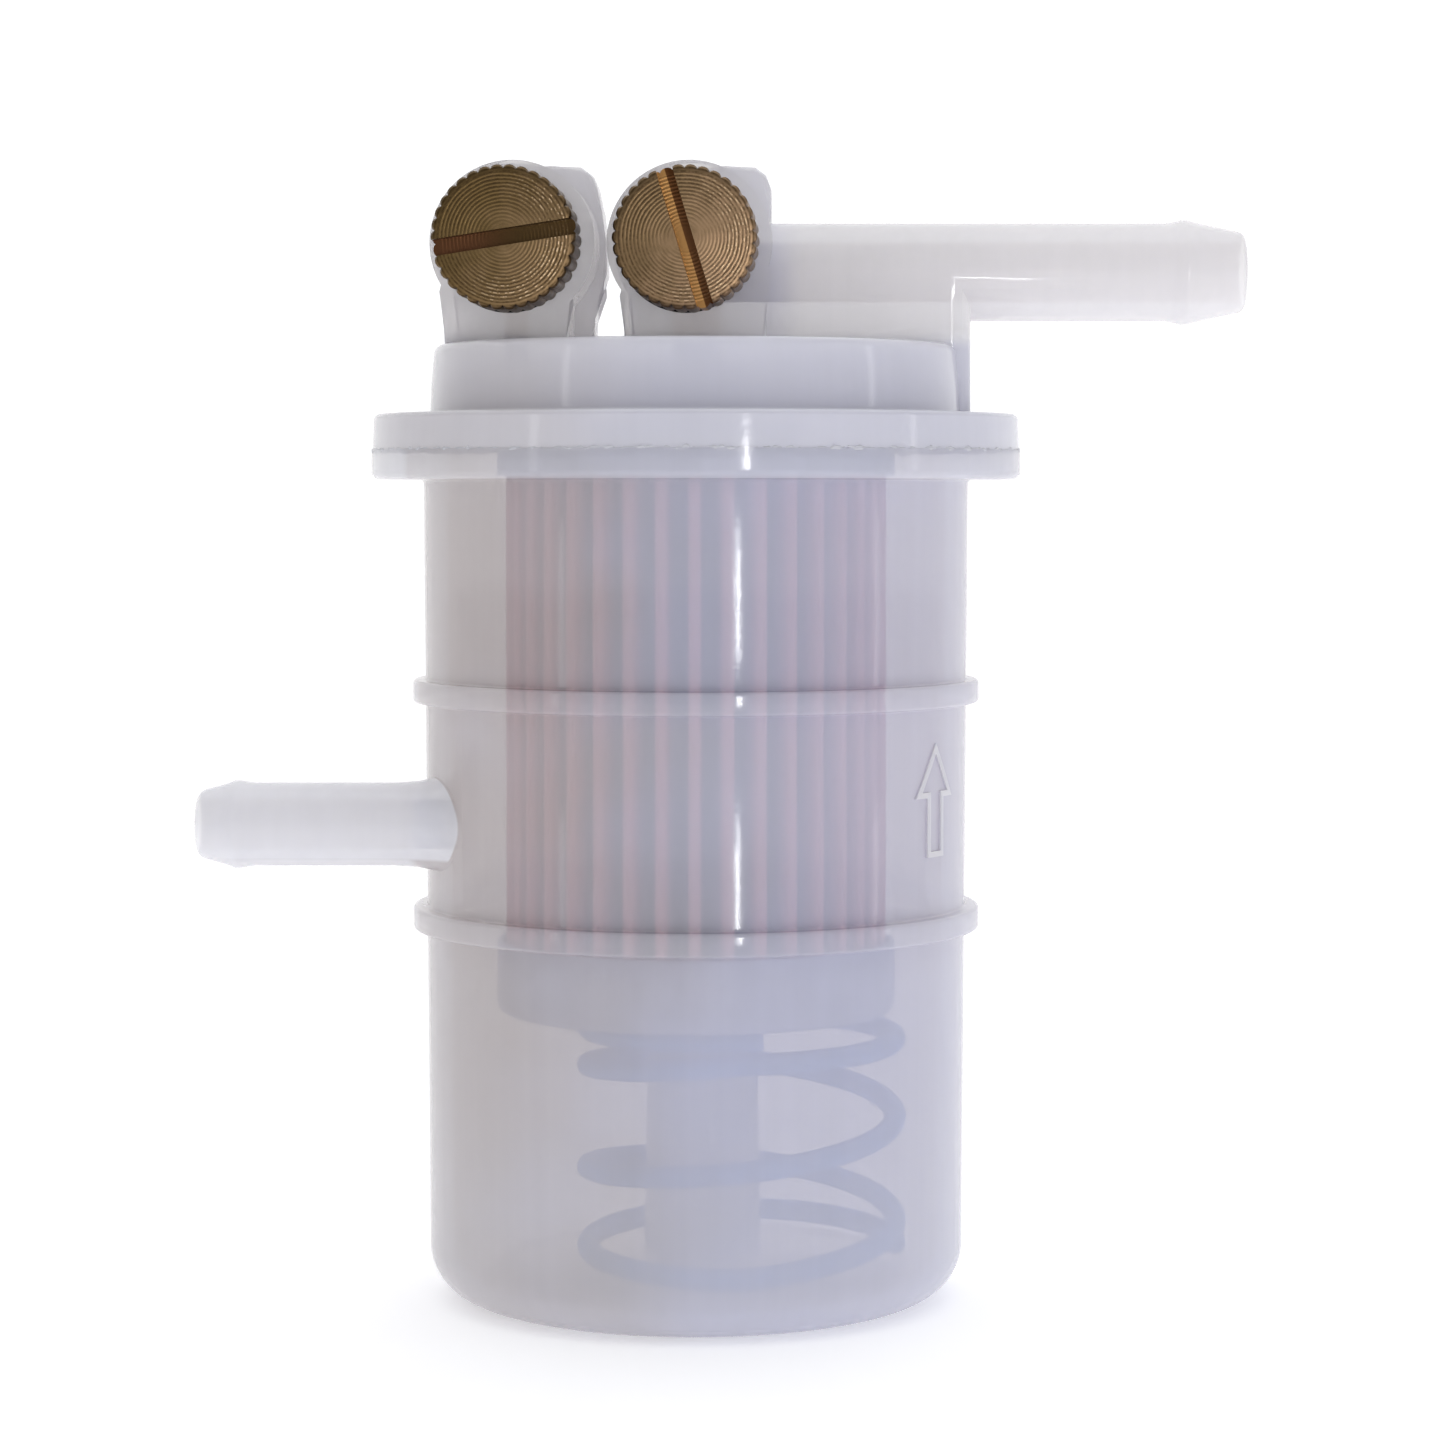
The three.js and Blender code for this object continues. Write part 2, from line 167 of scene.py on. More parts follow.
class Wire:
    """An output socket of a node tree. Arithmetic on wires adds Math nodes."""

    def __init__(self, board, socket):
        self.board = board
        self.socket = socket

    def out(self, name):
        return Wire(self.board, self.socket.node.outputs[name])

    def maths(self, operation, first, second=0.0):
        return self.board.add("ShaderNodeMath", {"operation": operation}, {0: first, 1: second})

    def __add__(self, other):
        return self.maths("ADD", self, other)

    def __sub__(self, other):
        return self.maths("SUBTRACT", self, other)

    def __rsub__(self, other):
        return self.maths("SUBTRACT", other, self)

    def __mul__(self, other):
        return self.maths("MULTIPLY", self, other)

    def __truediv__(self, other):
        return self.maths("DIVIDE", self, other)

    def __pow__(self, other):
        return self.maths("POWER", self, other)

    __radd__ = __add__
    __rmul__ = __mul__

    def of(self, operation, second=0.0):
        """A Math node of any other operation, such as SINE or MAXIMUM."""
        return self.maths(operation, self, second)

    def step(self, start, end):
        """0 before start, 1 after end, and smooth between them."""
        kind = {"interpolation_type": "SMOOTHSTEP"}
        inputs = {"Value": self, "From Min": start, "From Max": end}
        return self.board.add("ShaderNodeMapRange", kind, inputs)


class Board:
    """Adds nodes to a tree: settings first, then the values or wires of the inputs."""

    def __init__(self, tree):
        self.tree = tree

    def add(self, kind, settings=None, inputs=None, output=0):
        node = self.tree.nodes.new(kind)
        for name, value in (settings or {}).items():
            if name == "stops":
                self.set_stops(node.color_ramp, value)
            else:
                setattr(node, name, value)
        for name, value in (inputs or {}).items():
            if isinstance(value, Wire):
                self.tree.links.new(value.socket, node.inputs[name])
            else:
                node.inputs[name].default_value = value
        return Wire(self, node.outputs[output]) if len(node.outputs) else None

    @staticmethod
    def set_stops(ramp, stops):
        while len(ramp.elements) < len(stops):
            ramp.elements.new(1.0)
        for element, (position, colour) in zip(ramp.elements, stops):
            element.position = position
            element.color = colour


class Finish(Board):
    """A material whose surface is one Principled shader."""

    def __init__(self, name):
        self.material = bpy.data.materials.new(name)
        self.material.use_nodes = True
        super().__init__(self.material.node_tree)
        self.tree.nodes.clear()
        where = self.add("ShaderNodeTexCoord", output="Object")
        self.place = self.add("ShaderNodeVectorMath", {"operation": "SCALE"}, {0: where, "Scale": 1 / MM})

    def parts(self, vector):
        apart = self.add("ShaderNodeSeparateXYZ", inputs={0: vector})
        return apart.out("X"), apart.out("Y"), apart.out("Z")

    def moved(self, vector, location=(0, 0, 0), rotation=(0, 0, 0), scale=(1, 1, 1)):
        inputs = {"Vector": vector, "Location": location, "Rotation": rotation, "Scale": scale}
        return self.add("ShaderNodeMapping", {"vector_type": "POINT"}, inputs)

    def cloud(self, size, detail=2.0, stretch=(1, 1, 1), rough=0.5):
        """Smooth noise whose lumps are about size millimetres, stretched along the axes."""
        vector = self.moved(self.place, scale=tuple(1 / (size * s) for s in stretch))
        inputs = {"Vector": vector, "Scale": 1.0, "Detail": detail, "Roughness": rough}
        return self.add("ShaderNodeTexNoise", inputs=inputs)

    def blend(self, share, first, second):
        inputs = {"Factor": share, "A": first, "B": second}
        return self.add("ShaderNodeMix", {"data_type": "RGBA"}, inputs, output="Result")

    def relief(self, height, depth, before=None):
        """A bump of depth millimetres."""
        inputs = {"Height": height, "Distance": depth * MM, "Strength": 1.0}
        if before is not None:
            inputs["Normal"] = before
        return self.add("ShaderNodeBump", inputs=inputs)

    def surface(self, varied, constant, opacity=None, tint=None):
        """Closes the material. Varied inputs are wires, and light that passes takes the tint."""
        shader = self.add("ShaderNodeBsdfPrincipled", inputs={**constant, **varied})
        if opacity is not None:
            clear = self.add("ShaderNodeBsdfTransparent", inputs={"Color": tint})
            shader = self.add("ShaderNodeMixShader", inputs={0: opacity, 1: clear, 2: shader})
        self.add("ShaderNodeOutputMaterial", inputs={"Surface": shader})
        return self.material


def colour(red, green, blue):
    """An 8-bit screen colour as a shader colour."""
    def linear(value):
        value /= 255
        return value / 12.92 if value <= 0.04045 else ((value + 0.055) / 1.055) ** 2.4

    return (linear(red), linear(green), linear(blue), 1.0)


NYLON_WARM = colour(196, 190, 193)
NYLON_COOL = colour(209, 210, 231)
# The lighter tone of thick nylon. It is also the colour of the painted highlight on the bowl's arrow.
NYLON_THICK_AND_HIGHLIGHT = colour(236, 238, 248)
NYLON_TINT = (0.985, 0.965, 0.945, 1.0)


def nylon(name, opacity_of, thick_and_highlight_share, thick_and_highlight_tone=NYLON_THICK_AND_HIGHLIGHT):
    """Milky nylon. It scatters blue and passes warm light, so what is dark behind it looks blue.

    opacity_of and the share function are functions of (x, y, z, radius). The share gives the lighter
    tone to thick nylon, and on the bowl also to a painted highlight on the arrow. A moulding's outer
    skin is more opaque than its inner one, so that it stays milky where a wall is seen edge on.
    """
    finish = Finish(name)
    x, y, z = finish.parts(finish.place)
    radius = (x * x + y * y) ** 0.5
    share = thick_and_highlight_share(x, y, z, radius)
    streaks = finish.cloud(1.6, detail=2, stretch=(1, 1, 40))
    drift = finish.cloud(14, detail=1)
    body_tone = finish.blend((x + (drift - 0.5) * 30).step(-22, 8), NYLON_WARM, NYLON_COOL)
    shade = finish.blend(share, body_tone, thick_and_highlight_tone)
    ripple = finish.cloud(3.5, detail=1, stretch=(1, 1, 0.5))
    mottle = finish.cloud(0.55, detail=2, stretch=(1, 1, 0.8))
    varied = {
        "Base Color": shade,
        "Roughness": 0.07 + 0.05 * streaks,
        "Normal": finish.relief(mottle, 0.005, finish.relief(ripple, 0.01)),
    }
    constant = {
        "IOR": 1.53,
        "Subsurface Weight": 0.2,
        "Subsurface Radius": (1.0, 1.0, 1.1),
        "Subsurface Scale": 1.6 * MM,
    }
    opacity = opacity_of(x, y, z, radius) + (streaks - 0.5) * 0.05
    return finish.surface(varied, constant, opacity, NYLON_TINT)


bowl_low, bowl_high = node_box("bowl")
FLANGE_RADIUS = bowl_high.y
WELD_HEIGHT = bowl_high.z
BOWL_FLANGE_THICK = 2.65
BOWL_TOP_RADIUS = 25.0
BOWL_FOOT_RADIUS = 24.45
BOWL_CORNER = 4.8
WALL = 2.1
FLOOR = 2.0
HOOP_RADIUS = 26.0
HOOP_HEIGHTS = (33.8, 54.5)
HOOP_WIDTH = 2.1
INLET_Y = -8.0
INLET_HEIGHT = 43.8
INLET_END = -bowl_low.x
FLANGE_FOOT = WELD_HEIGHT - BOWL_FLANGE_THICK


def wall_radius(height):
    """Outer radius of the bowl, which widens a little towards its flange so that it leaves the mould."""
    share = (height - BOWL_CORNER) / (FLANGE_FOOT - BOWL_CORNER)
    return BOWL_FOOT_RADIUS + (BOWL_TOP_RADIUS - BOWL_FOOT_RADIUS) * share


def hoop(low):
    """A hoop round the wall, with a small root fillet and rounded edges."""
    high = low + HOOP_WIDTH
    root, edge = 0.25, 0.35
    at_low, at_high = wall_radius(low), wall_radius(high)
    return [
        *arc((at_low + root, low - root), root, 180, 90, 3),
        *arc((HOOP_RADIUS - edge, low + edge), edge, -90, 0, 4),
        *arc((HOOP_RADIUS - edge, high - edge), edge, 0, 90, 4),
        *arc((at_high + root, high + root), root, 270, 180, 3),
    ]


def barb(start, end, pipe, bead, bead_at, nose, nose_round, flare):
    """Outline of a hose barb along its own axis: a flared root, a plain pipe, a bead and a rounded nose."""
    return [
        (0, start),
        (pipe + flare, start),
        (pipe + flare * 0.62, start + flare * 0.5),
        (pipe + flare * 0.25, start + flare * 1.3),
        (pipe + flare * 0.06, start + flare * 2.2),
        (pipe, start + flare * 3.2),
        (pipe, bead_at - 1.6),
        (pipe + (bead - pipe) * 0.3, bead_at - 1.1),
        (bead, bead_at - 0.2),
        (bead, bead_at + 0.25),
        (bead + (nose - bead) * 0.35, bead_at + 0.35 * (end - bead_at - nose_round)),
        *arc((nose - nose_round, end - nose_round), nose_round, 12, 90, 6),
        (0, end),
    ]


def arrow_outline(inset):
    """An upright arrow: x across and y up from its foot."""
    height, head, head_half, shaft_half = 10.1, 4.8, 3.3, 1.45
    neck = height - head + inset
    slope = head_half / head
    tip = height - inset * math.hypot(1, 1 / slope)
    half = (tip - neck) * slope
    shaft = shaft_half - inset
    right = [(shaft, inset), (shaft, neck), (half, neck)]
    left = [(-half, neck), (-shaft, neck)]
    return [(-shaft, inset), *right, (0, tip), *left]


foot_flat = BOWL_FOOT_RADIUS - BOWL_CORNER
lining_corner = BOWL_CORNER - WALL
outside = [
    (0, 0),
    *arc((foot_flat, BOWL_CORNER), BOWL_CORNER, -90, 0, 12),
    *hoop(HOOP_HEIGHTS[0]),
    *hoop(HOOP_HEIGHTS[1]),
    *arc((BOWL_TOP_RADIUS + 0.4, FLANGE_FOOT - 0.4), 0.4, 180, 90, 3),
    *arc((FLANGE_RADIUS - 1.0, FLANGE_FOOT + 0.8), 0.8, -90, 0, 5),
    (FLANGE_RADIUS - 0.25, WELD_HEIGHT),
    (0, WELD_HEIGHT),
]
lining = [
    (0, FLOOR),
    *arc((foot_flat, FLOOR + lining_corner), lining_corner, -90, 0, 8),
    (BOWL_TOP_RADIUS - WALL, WELD_HEIGHT + 1),
    (0, WELD_HEIGHT + 1),
]
to_inlet = (turn(-90, "Y"), shift(0, INLET_Y, INLET_HEIGHT))
inlet_profile = barb(20.4, INLET_END, 3.75, 3.95, INLET_END - 3.7, 3.2, 1.2, 2.1)
inlet = piece_from(placed(turned(inlet_profile, 72), *to_inlet), "inlet")
INLET_BORE = 2.25
inlet_hole = [(0, 12), (INLET_BORE, 12), (INLET_BORE, 50), (0, 50)]
inlet_bore = piece_from(placed(turned(inlet_hole, 48), *to_inlet), "inlet_bore")
hollow = piece_from(turned(lining), "hollow")

ARROW_FOOT = 41.3
ARROW_AZIMUTH = 59
ARROW_PROUD = 0.24
ARROW_WALL = wall_radius(46)
arrow = piece_from(pulled(arrow_outline(0), 0, 6), "arrow")
arrow_core = piece_from(pulled(arrow_outline(0.5), -1, 7), "arrow_core")
arrow_reach = ARROW_WALL + ARROW_PROUD
arrow_shell = piece_from(turned([(0, 38), (arrow_reach, 38), (arrow_reach, 54), (0, 54)]), "shell")
join_and_cut(arrow, cuts=[arrow_core])
to_arrow = (turn(90, "X"), shift(0, (4 - ARROW_WALL) * MM, ARROW_FOOT * MM), turn(ARROW_AZIMUTH, "Z"))
for move in to_arrow:
    arrow.data.transform(move)
trim = arrow.modifiers.new("trim", "BOOLEAN")
trim.object = arrow_shell
trim.operation = "INTERSECT"
join_and_cut(arrow)
bpy.data.objects.remove(arrow_shell)

bowl = join_and_cut(piece_from(turned(outside), "bowl_moulding"), [inlet, arrow], [hollow, inlet_bore])


SKIN = 0.64
LINING = 0.06


def bowl_thick_and_highlight(x, y, z, radius):
    """The inlet is thick, flange and foot less so, and the hoops a little. The arrow is painted in the
    lighter tone as a painted highlight.
    """
    rim = radius.step(BOWL_TOP_RADIUS - 1.5, BOWL_TOP_RADIUS + 0.3)
    flange = z.step(FLANGE_FOOT - 0.1, FLANGE_FOOT + 0.05) * rim
    hoops = radius.step(BOWL_TOP_RADIUS + 0.1, BOWL_TOP_RADIUS + 0.6) * 0.12
    arrow_height = z.step(40.5, 41) * (1 - z.step(52, 52.5))
    # Painted highlight: the raised arrow takes the lighter tone.
    on_arrow = radius.step(ARROW_WALL + 0.1, ARROW_WALL + 0.22) * arrow_height
    inlet_side = (0 - x).step(24.5, 26)
    foot = 0.28 * (1 - z.step(2, 26))
    moulded = (flange * 0.38).of("MAXIMUM", foot).of("MAXIMUM", hoops)
    return moulded.of("MAXIMUM", on_arrow).of("MAXIMUM", inlet_side * 0.85)


def bowl_opacity(x, y, z, radius):
    """The outer skin and the flange are milky, and the lining lets most light through."""
    across = (radius - foot_flat).of("MAXIMUM", 0.0)
    down = (BOWL_CORNER - z).of("MAXIMUM", 0.0)
    outer = ((across ** 2 + down ** 2) ** 0.5).step(lining_corner + 0.7, BOWL_CORNER - 0.3)
    below_element = 0.05 * (1 - z.step(30, 34)) + 0.02 * (1 - z.step(3, 16))
    pipe = (0 - x).step(24.5, 26)
    bore = 1 - ((y - INLET_Y) ** 2 + (z - INLET_HEIGHT) ** 2).step(5.3, 7)
    return (LINING + (SKIN - LINING + below_element) * outer) * (1 - pipe) + pipe * (0.6 - 0.4 * bore)


bowl.data.materials.clear()
bowl.data.materials.append(nylon("bowl_nylon", bowl_opacity, bowl_thick_and_highlight))
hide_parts("bowl")
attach(bowl, "housing")

# ------------------------------------------------------------------------------------------------
# Magnet post: a moulded nylon sleeve whose wide foot is trapped under the spring, with a plated
# bar magnet pushed up inside it and a steel disc on the magnet's upper pole.
# ------------------------------------------------------------------------------------------------


def plated(name, tone, roughness=0.34, metallic=0.85):
    """Plated or drawn steel with a faint cloudy finish and fine scratches along its height."""
    finish = Finish(name)
    cloudy = finish.cloud(3.0, detail=4)
    scratches = finish.cloud(0.25, detail=3, stretch=(1, 1, 14))
    darker = tuple(0.72 * c for c in tone[:3]) + (1.0,)
    shade = finish.blend(cloudy.step(0.3, 0.7), tone, darker)
    varied = {
        "Base Color": shade,
        "Roughness": roughness + (cloudy - 0.5) * 0.2,
        "Normal": finish.relief(scratches, 0.01),
    }
    return finish.surface(varied, {"Metallic": metallic})


post_low, post_high = node_box("magnet_holder")
POST_X = (post_low.x + post_high.x) / 2
POST_FOOT = post_high.x - POST_X
FOOT_HEIGHT = 0.7
SLEEVE_FOOT = 5.4
SLEEVE_HEAD = 5.1
SLEEVE_ROUND = 0.8
on_post = shift(POST_X, 0, 0)
magnet_low, magnet_high = node_box("bar_magnet")
disc_low, disc_high = node_box("pole_disc")
magnet_radius = magnet_high.x - POST_X
pocket = magnet_radius + 0.06
sleeve_profile = [
    (pocket, FLOOR),
    (POST_FOOT, FLOOR),
    (POST_FOOT, FLOOR + FOOT_HEIGHT),
    *arc((SLEEVE_FOOT + SLEEVE_ROUND, FLOOR + FOOT_HEIGHT + SLEEVE_ROUND), SLEEVE_ROUND, 270, 180, 4),
    *arc((SLEEVE_HEAD - SLEEVE_ROUND, post_high.z - SLEEVE_ROUND), SLEEVE_ROUND, 0, 90, 5),
    (0, post_high.z),
    (0, disc_high.z + 0.04),
    (pocket, disc_high.z + 0.04),
]
sleeve = piece_from(placed(turned(sleeve_profile, 96, closed=True), on_post), "magnet_sleeve")


def sleeve_opacity(x, y, z, radius):
    """The sleeve hides its magnet, and its foot lets light through."""
    return 0.25 + 0.6 * z.step(2.7, 4)


def sleeve_thick(x, y, z, radius):
    return z * 0.0 + 1.0


sleeve.data.materials.append(nylon("sleeve_nylon", sleeve_opacity, sleeve_thick))
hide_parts("magnet_holder")
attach(sleeve, "housing")


def round_bar(low, high, radius, edge):
    """A plain bar with broken edges."""
    return [
        (0, low),
        *arc((radius - edge, low + edge), edge, -90, 0, 3),
        *arc((radius - edge, high - edge), edge, 0, 90, 3),
        (0, high),
    ]


magnet_profile = round_bar(magnet_low.z, magnet_high.z, magnet_radius, 0.4)
magnet = piece_from(placed(turned(magnet_profile, 64), on_post), "magnet")
magnet.data.materials.append(plated("nickel_plate", colour(150, 156, 172), 0.22))
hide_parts("bar_magnet")
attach(magnet, "housing")

pole_profile = round_bar(disc_low.z, disc_high.z, magnet_radius, 0.15)
pole = piece_from(placed(turned(pole_profile, 64), on_post), "pole_piece")
pole.data.materials.append(plated("pole_steel", colour(140, 146, 158), 0.4))
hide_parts("pole_disc")
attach(pole, "housing")

# ------------------------------------------------------------------------------------------------
# Spring: a right-handed coil of 2 mm steel wire, closed at the top, that pushes the element up on
# its seat. It stands loose in the bowl, a little to the outlet side, with its foot leaning.
# ------------------------------------------------------------------------------------------------


class Recipe(Board):
    def __init__(self, name, sizes, base=False):
        tree = bpy.data.node_groups.new(name, "GeometryNodeTree")
        super().__init__(tree)
        self.sizes = sizes
        self.keys = {}
        if base:
            tree.interface.new_socket("Geometry", in_out="INPUT", socket_type="NodeSocketGeometry")
        for label, value in sizes.items():
            kind = "NodeSocketInt" if isinstance(value, int) else "NodeSocketFloat"
            self.keys[label] = tree.interface.new_socket(label, in_out="INPUT", socket_type=kind).identifier
        tree.interface.new_socket("Geometry", in_out="OUTPUT", socket_type="NodeSocketGeometry")
        self.inputs = tree.nodes.new("NodeGroupInput")

    def size(self, label):
        return Wire(self, self.inputs.outputs[label])

    def base(self):
        return Wire(self, self.inputs.outputs["Geometry"])

    def finish(self, geometry, material, smooth=True):
        real = self.add("GeometryNodeRealizeInstances", inputs={0: geometry})
        merged = self.add("GeometryNodeMergeByDistance", inputs={0: real, "Distance": 0.002 * MM})
        shaded = self.add("GeometryNodeSetShadeSmooth", inputs={0: merged, "Shade Smooth": smooth})
        dressed = self.add("GeometryNodeSetMaterial", inputs={0: shaded, "Material": material})
        self.add("NodeGroupOutput", inputs={0: dressed})

    def grow(self, name, base=None):
        """Runs the tree on a base mesh, or on nothing, and returns the result as a plain mesh object."""
        holder = bpy.data.objects.new(name, base or bpy.data.meshes.new(name))
        bpy.context.scene.collection.objects.link(holder)
        modifier = holder.modifiers.new("grow", "NODES")
        modifier.node_group = self.tree
        for label, value in self.sizes.items():
            modifier[self.keys[label]] = value
        shapes = bpy.context.evaluated_depsgraph_get()
        mesh = bpy.data.meshes.new_from_object(holder.evaluated_get(shapes), depsgraph=shapes)
        holder.modifiers.clear()
        holder.data = mesh
        return holder


spring_low, spring_high = node_box("spring")
element_low, element_high = node_box("element_bottom_cap")
SPRING_WIRE = 2.0
SPRING_X = (spring_low.x + spring_high.x) / 2
spring_recipe = Recipe("coil_spring", {
    "Steps": 420,
    "First Turn": -0.75,
    "Last Turn": 3.02,
    "Coil Radius": (spring_high.y - SPRING_WIRE / 2) * MM,
    "Wire Radius": SPRING_WIRE / 2 * MM,
    "Foot": (spring_low.z + SPRING_WIRE / 2) * MM,
    "Head": (element_low.z - SPRING_WIRE / 2 - 0.05) * MM,
    "Closed Rise": 2.06 * MM,
    "Lean": 1.15 * MM,
    "Offset": SPRING_X * MM,
})
line = spring_recipe.add("GeometryNodeCurvePrimitiveLine", {"mode": "POINTS"})
path = spring_recipe.add("GeometryNodeResampleCurve", inputs={0: line, "Count": spring_recipe.size("Steps")})
along = spring_recipe.add("GeometryNodeInputIndex") / (spring_recipe.size("Steps") - 1)
first = spring_recipe.size("First Turn")
coil_turn = first + (spring_recipe.size("Last Turn") - first) * along
coil_angle = coil_turn * (2 * math.pi) - math.pi / 2
foot, head = spring_recipe.size("Foot"), spring_recipe.size("Head")
closed_foot = head - spring_recipe.size("Closed Rise")
open_share = (coil_turn / 2).of("MAXIMUM", 0.0).of("MINIMUM", 1.0)
closed_share = (coil_turn - 2).of("MAXIMUM", 0.0)
rise = foot + (closed_foot - foot) * open_share + (head - closed_foot) * closed_share
lean = (1 + coil_angle.of("SINE")) * 0.5 * spring_recipe.size("Lean") * (1 - coil_turn.step(1.5, 2.3))
ring_x = spring_recipe.size("Offset") + coil_angle.of("COSINE") * spring_recipe.size("Coil Radius")
ring_y = coil_angle.of("SINE") * spring_recipe.size("Coil Radius")
spot = spring_recipe.add("ShaderNodeCombineXYZ", inputs={"X": ring_x, "Y": ring_y, "Z": rise + lean})
coil = spring_recipe.add("GeometryNodeSetPosition", inputs={0: path, "Position": spot})
wire_ring = spring_recipe.add(
    "GeometryNodeCurvePrimitiveCircle", inputs={"Resolution": 20, "Radius": spring_recipe.size("Wire Radius")}
)
drawn = spring_recipe.add(
    "GeometryNodeCurveToMesh", inputs={"Curve": coil, "Profile Curve": wire_ring, "Fill Caps": True}
)
# The wire's strong blue is painted light: it stands in for the blue that the milky nylon scatters in front of
# the spring.
spring_recipe.finish(drawn, plated("spring_wire", colour(84, 156, 238), 0.4, 0.1))
spring = spring_recipe.grow("coil_spring")
element_lift = next(joint for joint in frame["joints"] if joint["name"] == "element_lift")
LIFT_TRAVEL = -element_lift["range_m"][0] / MM
spring_length = element_low.z - spring_low.z
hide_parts("spring")
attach(spring, "housing")
(spring_length - LIFT_TRAVEL) / spring_length
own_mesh(spring)

# ------------------------------------------------------------------------------------------------
# Lower end cap: pressed from thin plated steel with a deep rim. The paper and the core are potted
# in the adhesive inside it, and the spring bears on its flat underside.
# ------------------------------------------------------------------------------------------------
SHEET = 0.6
element_radius = element_high.x
bond_low, bond_high = node_box("bottom_bond")
lower_cap_profile = [
    (0, element_low.z),
    *arc((element_radius - 0.9, element_low.z + 0.9), 0.9, -90, 0, 5),
    (element_radius, element_high.z - 0.15),
    (element_radius - 0.15, element_high.z),
    (element_radius - SHEET + 0.1, element_high.z),
    (element_radius - SHEET + 0.02, element_high.z - 0.1),
    (element_radius - SHEET + 0.02, element_low.z + SHEET),
    (0, element_low.z + SHEET),
]
cap_steel = plated("end_cap_steel", colour(190, 202, 232), 0.45, 0.15)
lower_cap = piece_from(turned(lower_cap_profile, 128), "lower_end_cap")
lower_cap.data.materials.append(cap_steel)
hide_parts("element_bottom_cap")
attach(lower_cap, "element")


def adhesive():
    """Poured adhesive, brown and slightly glossy with a lumpy skin."""
    finish = Finish("potting_adhesive")
    lumps = finish.cloud(1.6, detail=3)
    shade = finish.blend(lumps.step(0.35, 0.65), colour(150, 118, 104), colour(176, 146, 130))
    varied = {"Base Color": shade, "Roughness": 0.35 + 0.2 * lumps, "Normal": finish.relief(lumps, 0.15)}
    return finish.surface(varied, {"IOR": 1.5})


resin = adhesive()
lower_bond = piece_from(
    turned([(0, bond_low.z), (bond_high.x, bond_low.z), (bond_high.x, bond_high.z), (0, bond_high.z)], 96),
    "lower_bond",
)
lower_bond.data.materials.append(resin)
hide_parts("bottom_bond")
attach(lower_bond, "element")

# ------------------------------------------------------------------------------------------------
# Core tube: thin steel rolled into a tube and pierced all over, which keeps the paper from
# collapsing inwards when the flow pulls on it.
# ------------------------------------------------------------------------------------------------
core_low, core_high = node_box("core_tube")
CORE_COLUMNS = 16
CORE_ROWS = 14
CORE_SHEET = 0.6
core_radius = core_high.x
cell_height = (core_high.z - core_low.z) / CORE_ROWS
HOLE_SHARE = 0.33


def pierced_cell():
    """One cell of the pierced sheet with half its thickness on each side, bent round the tube."""
    half_angle = math.pi / CORE_COLUMNS
    half_width = core_radius * half_angle
    corners = 16
    form = bmesh.new()
    layers = []
    for radius in (core_radius, core_radius - CORE_SHEET):
        rim, hole = [], []
        for k in range(corners):
            angle = 2 * math.pi * k / corners + math.pi / 4
            across, up = math.cos(angle), math.sin(angle)
            square = max(abs(across), abs(up))
            spot = HOLE_SHARE * min(half_width, cell_height / 2) * 2
            rim.append((across / square * half_angle, up / square * cell_height / 2))
            hole.append((across * spot / core_radius, up * spot))
        layers.append([
            [form.verts.new((radius * math.cos(a), radius * math.sin(a), h + cell_height / 2))
             for a, h in loop]
            for loop in (rim, hole)
        ])
    for k in range(corners):
        after = (k + 1) % corners
        for rim, hole in layers:
            form.faces.new((rim[k], rim[after], hole[after], hole[k]))
        form.faces.new((layers[0][1][k], layers[0][1][after], layers[1][1][after], layers[1][1][k]))
    bmesh.ops.scale(form, vec=(MM, MM, MM), verts=form.verts)
    mesh = bpy.data.meshes.new("pierced_cell")
    form.to_mesh(mesh)
    form.free()
    return mesh


core_recipe = Recipe("pierced_tube", {
    "Columns": CORE_COLUMNS,
    "Rows": CORE_ROWS,
    "Row Height": cell_height * MM,
    "Foot": core_low.z * MM,
}, base=True)
columns, rows = core_recipe.size("Columns"), core_recipe.size("Rows")
seeds = core_recipe.add("GeometryNodePoints", inputs={"Count": columns * rows})
index = core_recipe.add("GeometryNodeInputIndex")
row = (index / columns).of("FLOOR")
row_height = core_recipe.size("Foot") + row * core_recipe.size("Row Height")
lift = core_recipe.add("ShaderNodeCombineXYZ", inputs={"Z": row_height})
spots = core_recipe.add("GeometryNodeSetPosition", inputs={0: seeds, "Position": lift})
column_turn = (index - row * columns) * (2 * math.pi) / columns
swing = core_recipe.add("ShaderNodeCombineXYZ", inputs={"Z": column_turn})
cells = core_recipe.add(
    "GeometryNodeInstanceOnPoints",
    inputs={"Points": spots, "Instance": core_recipe.base(), "Rotation": swing},
)
core_recipe.finish(cells, plated("core_steel", colour(150, 154, 164), 0.36))
core = core_recipe.grow("pierced_core", pierced_cell())


def capped(piece):
    """Closes the open rims of a grown mesh and turns its faces outwards."""
    form = bmesh.new()
    form.from_mesh(piece.data)
    bmesh.ops.remove_doubles(form, verts=form.verts, dist=0.003 * MM)
    rims = [edge for edge in form.edges if edge.is_boundary]
    if rims:
        bmesh.ops.bridge_loops(form, edges=[e for e in rims if e.verts[0].co.z < core_low.z * MM + 1e-5])
        bmesh.ops.bridge_loops(form, edges=[e for e in rims if e.verts[0].co.z > core_high.z * MM - 1e-5])
    bmesh.ops.recalc_face_normals(form, faces=form.faces)
    form.to_mesh(piece.data)
    form.free()
    piece.data.set_sharp_from_angle(angle=math.radians(35))


capped(core)
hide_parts("core_tube")
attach(core, "element")

# ------------------------------------------------------------------------------------------------
# Pleated paper: resin-treated filter paper folded into deep pleats and closed into a ring. Its
# folds are soft, no two are quite alike, and a crimped steel strip joins the two ends.
# ------------------------------------------------------------------------------------------------
paper_low, paper_high = node_box("pleated_paper")
PLEATS = 36
PLEAT_OUTER = 17.5
PLEAT_INNER = 7.5
PAPER = 0.4
PLEAT_HALF = 0.56


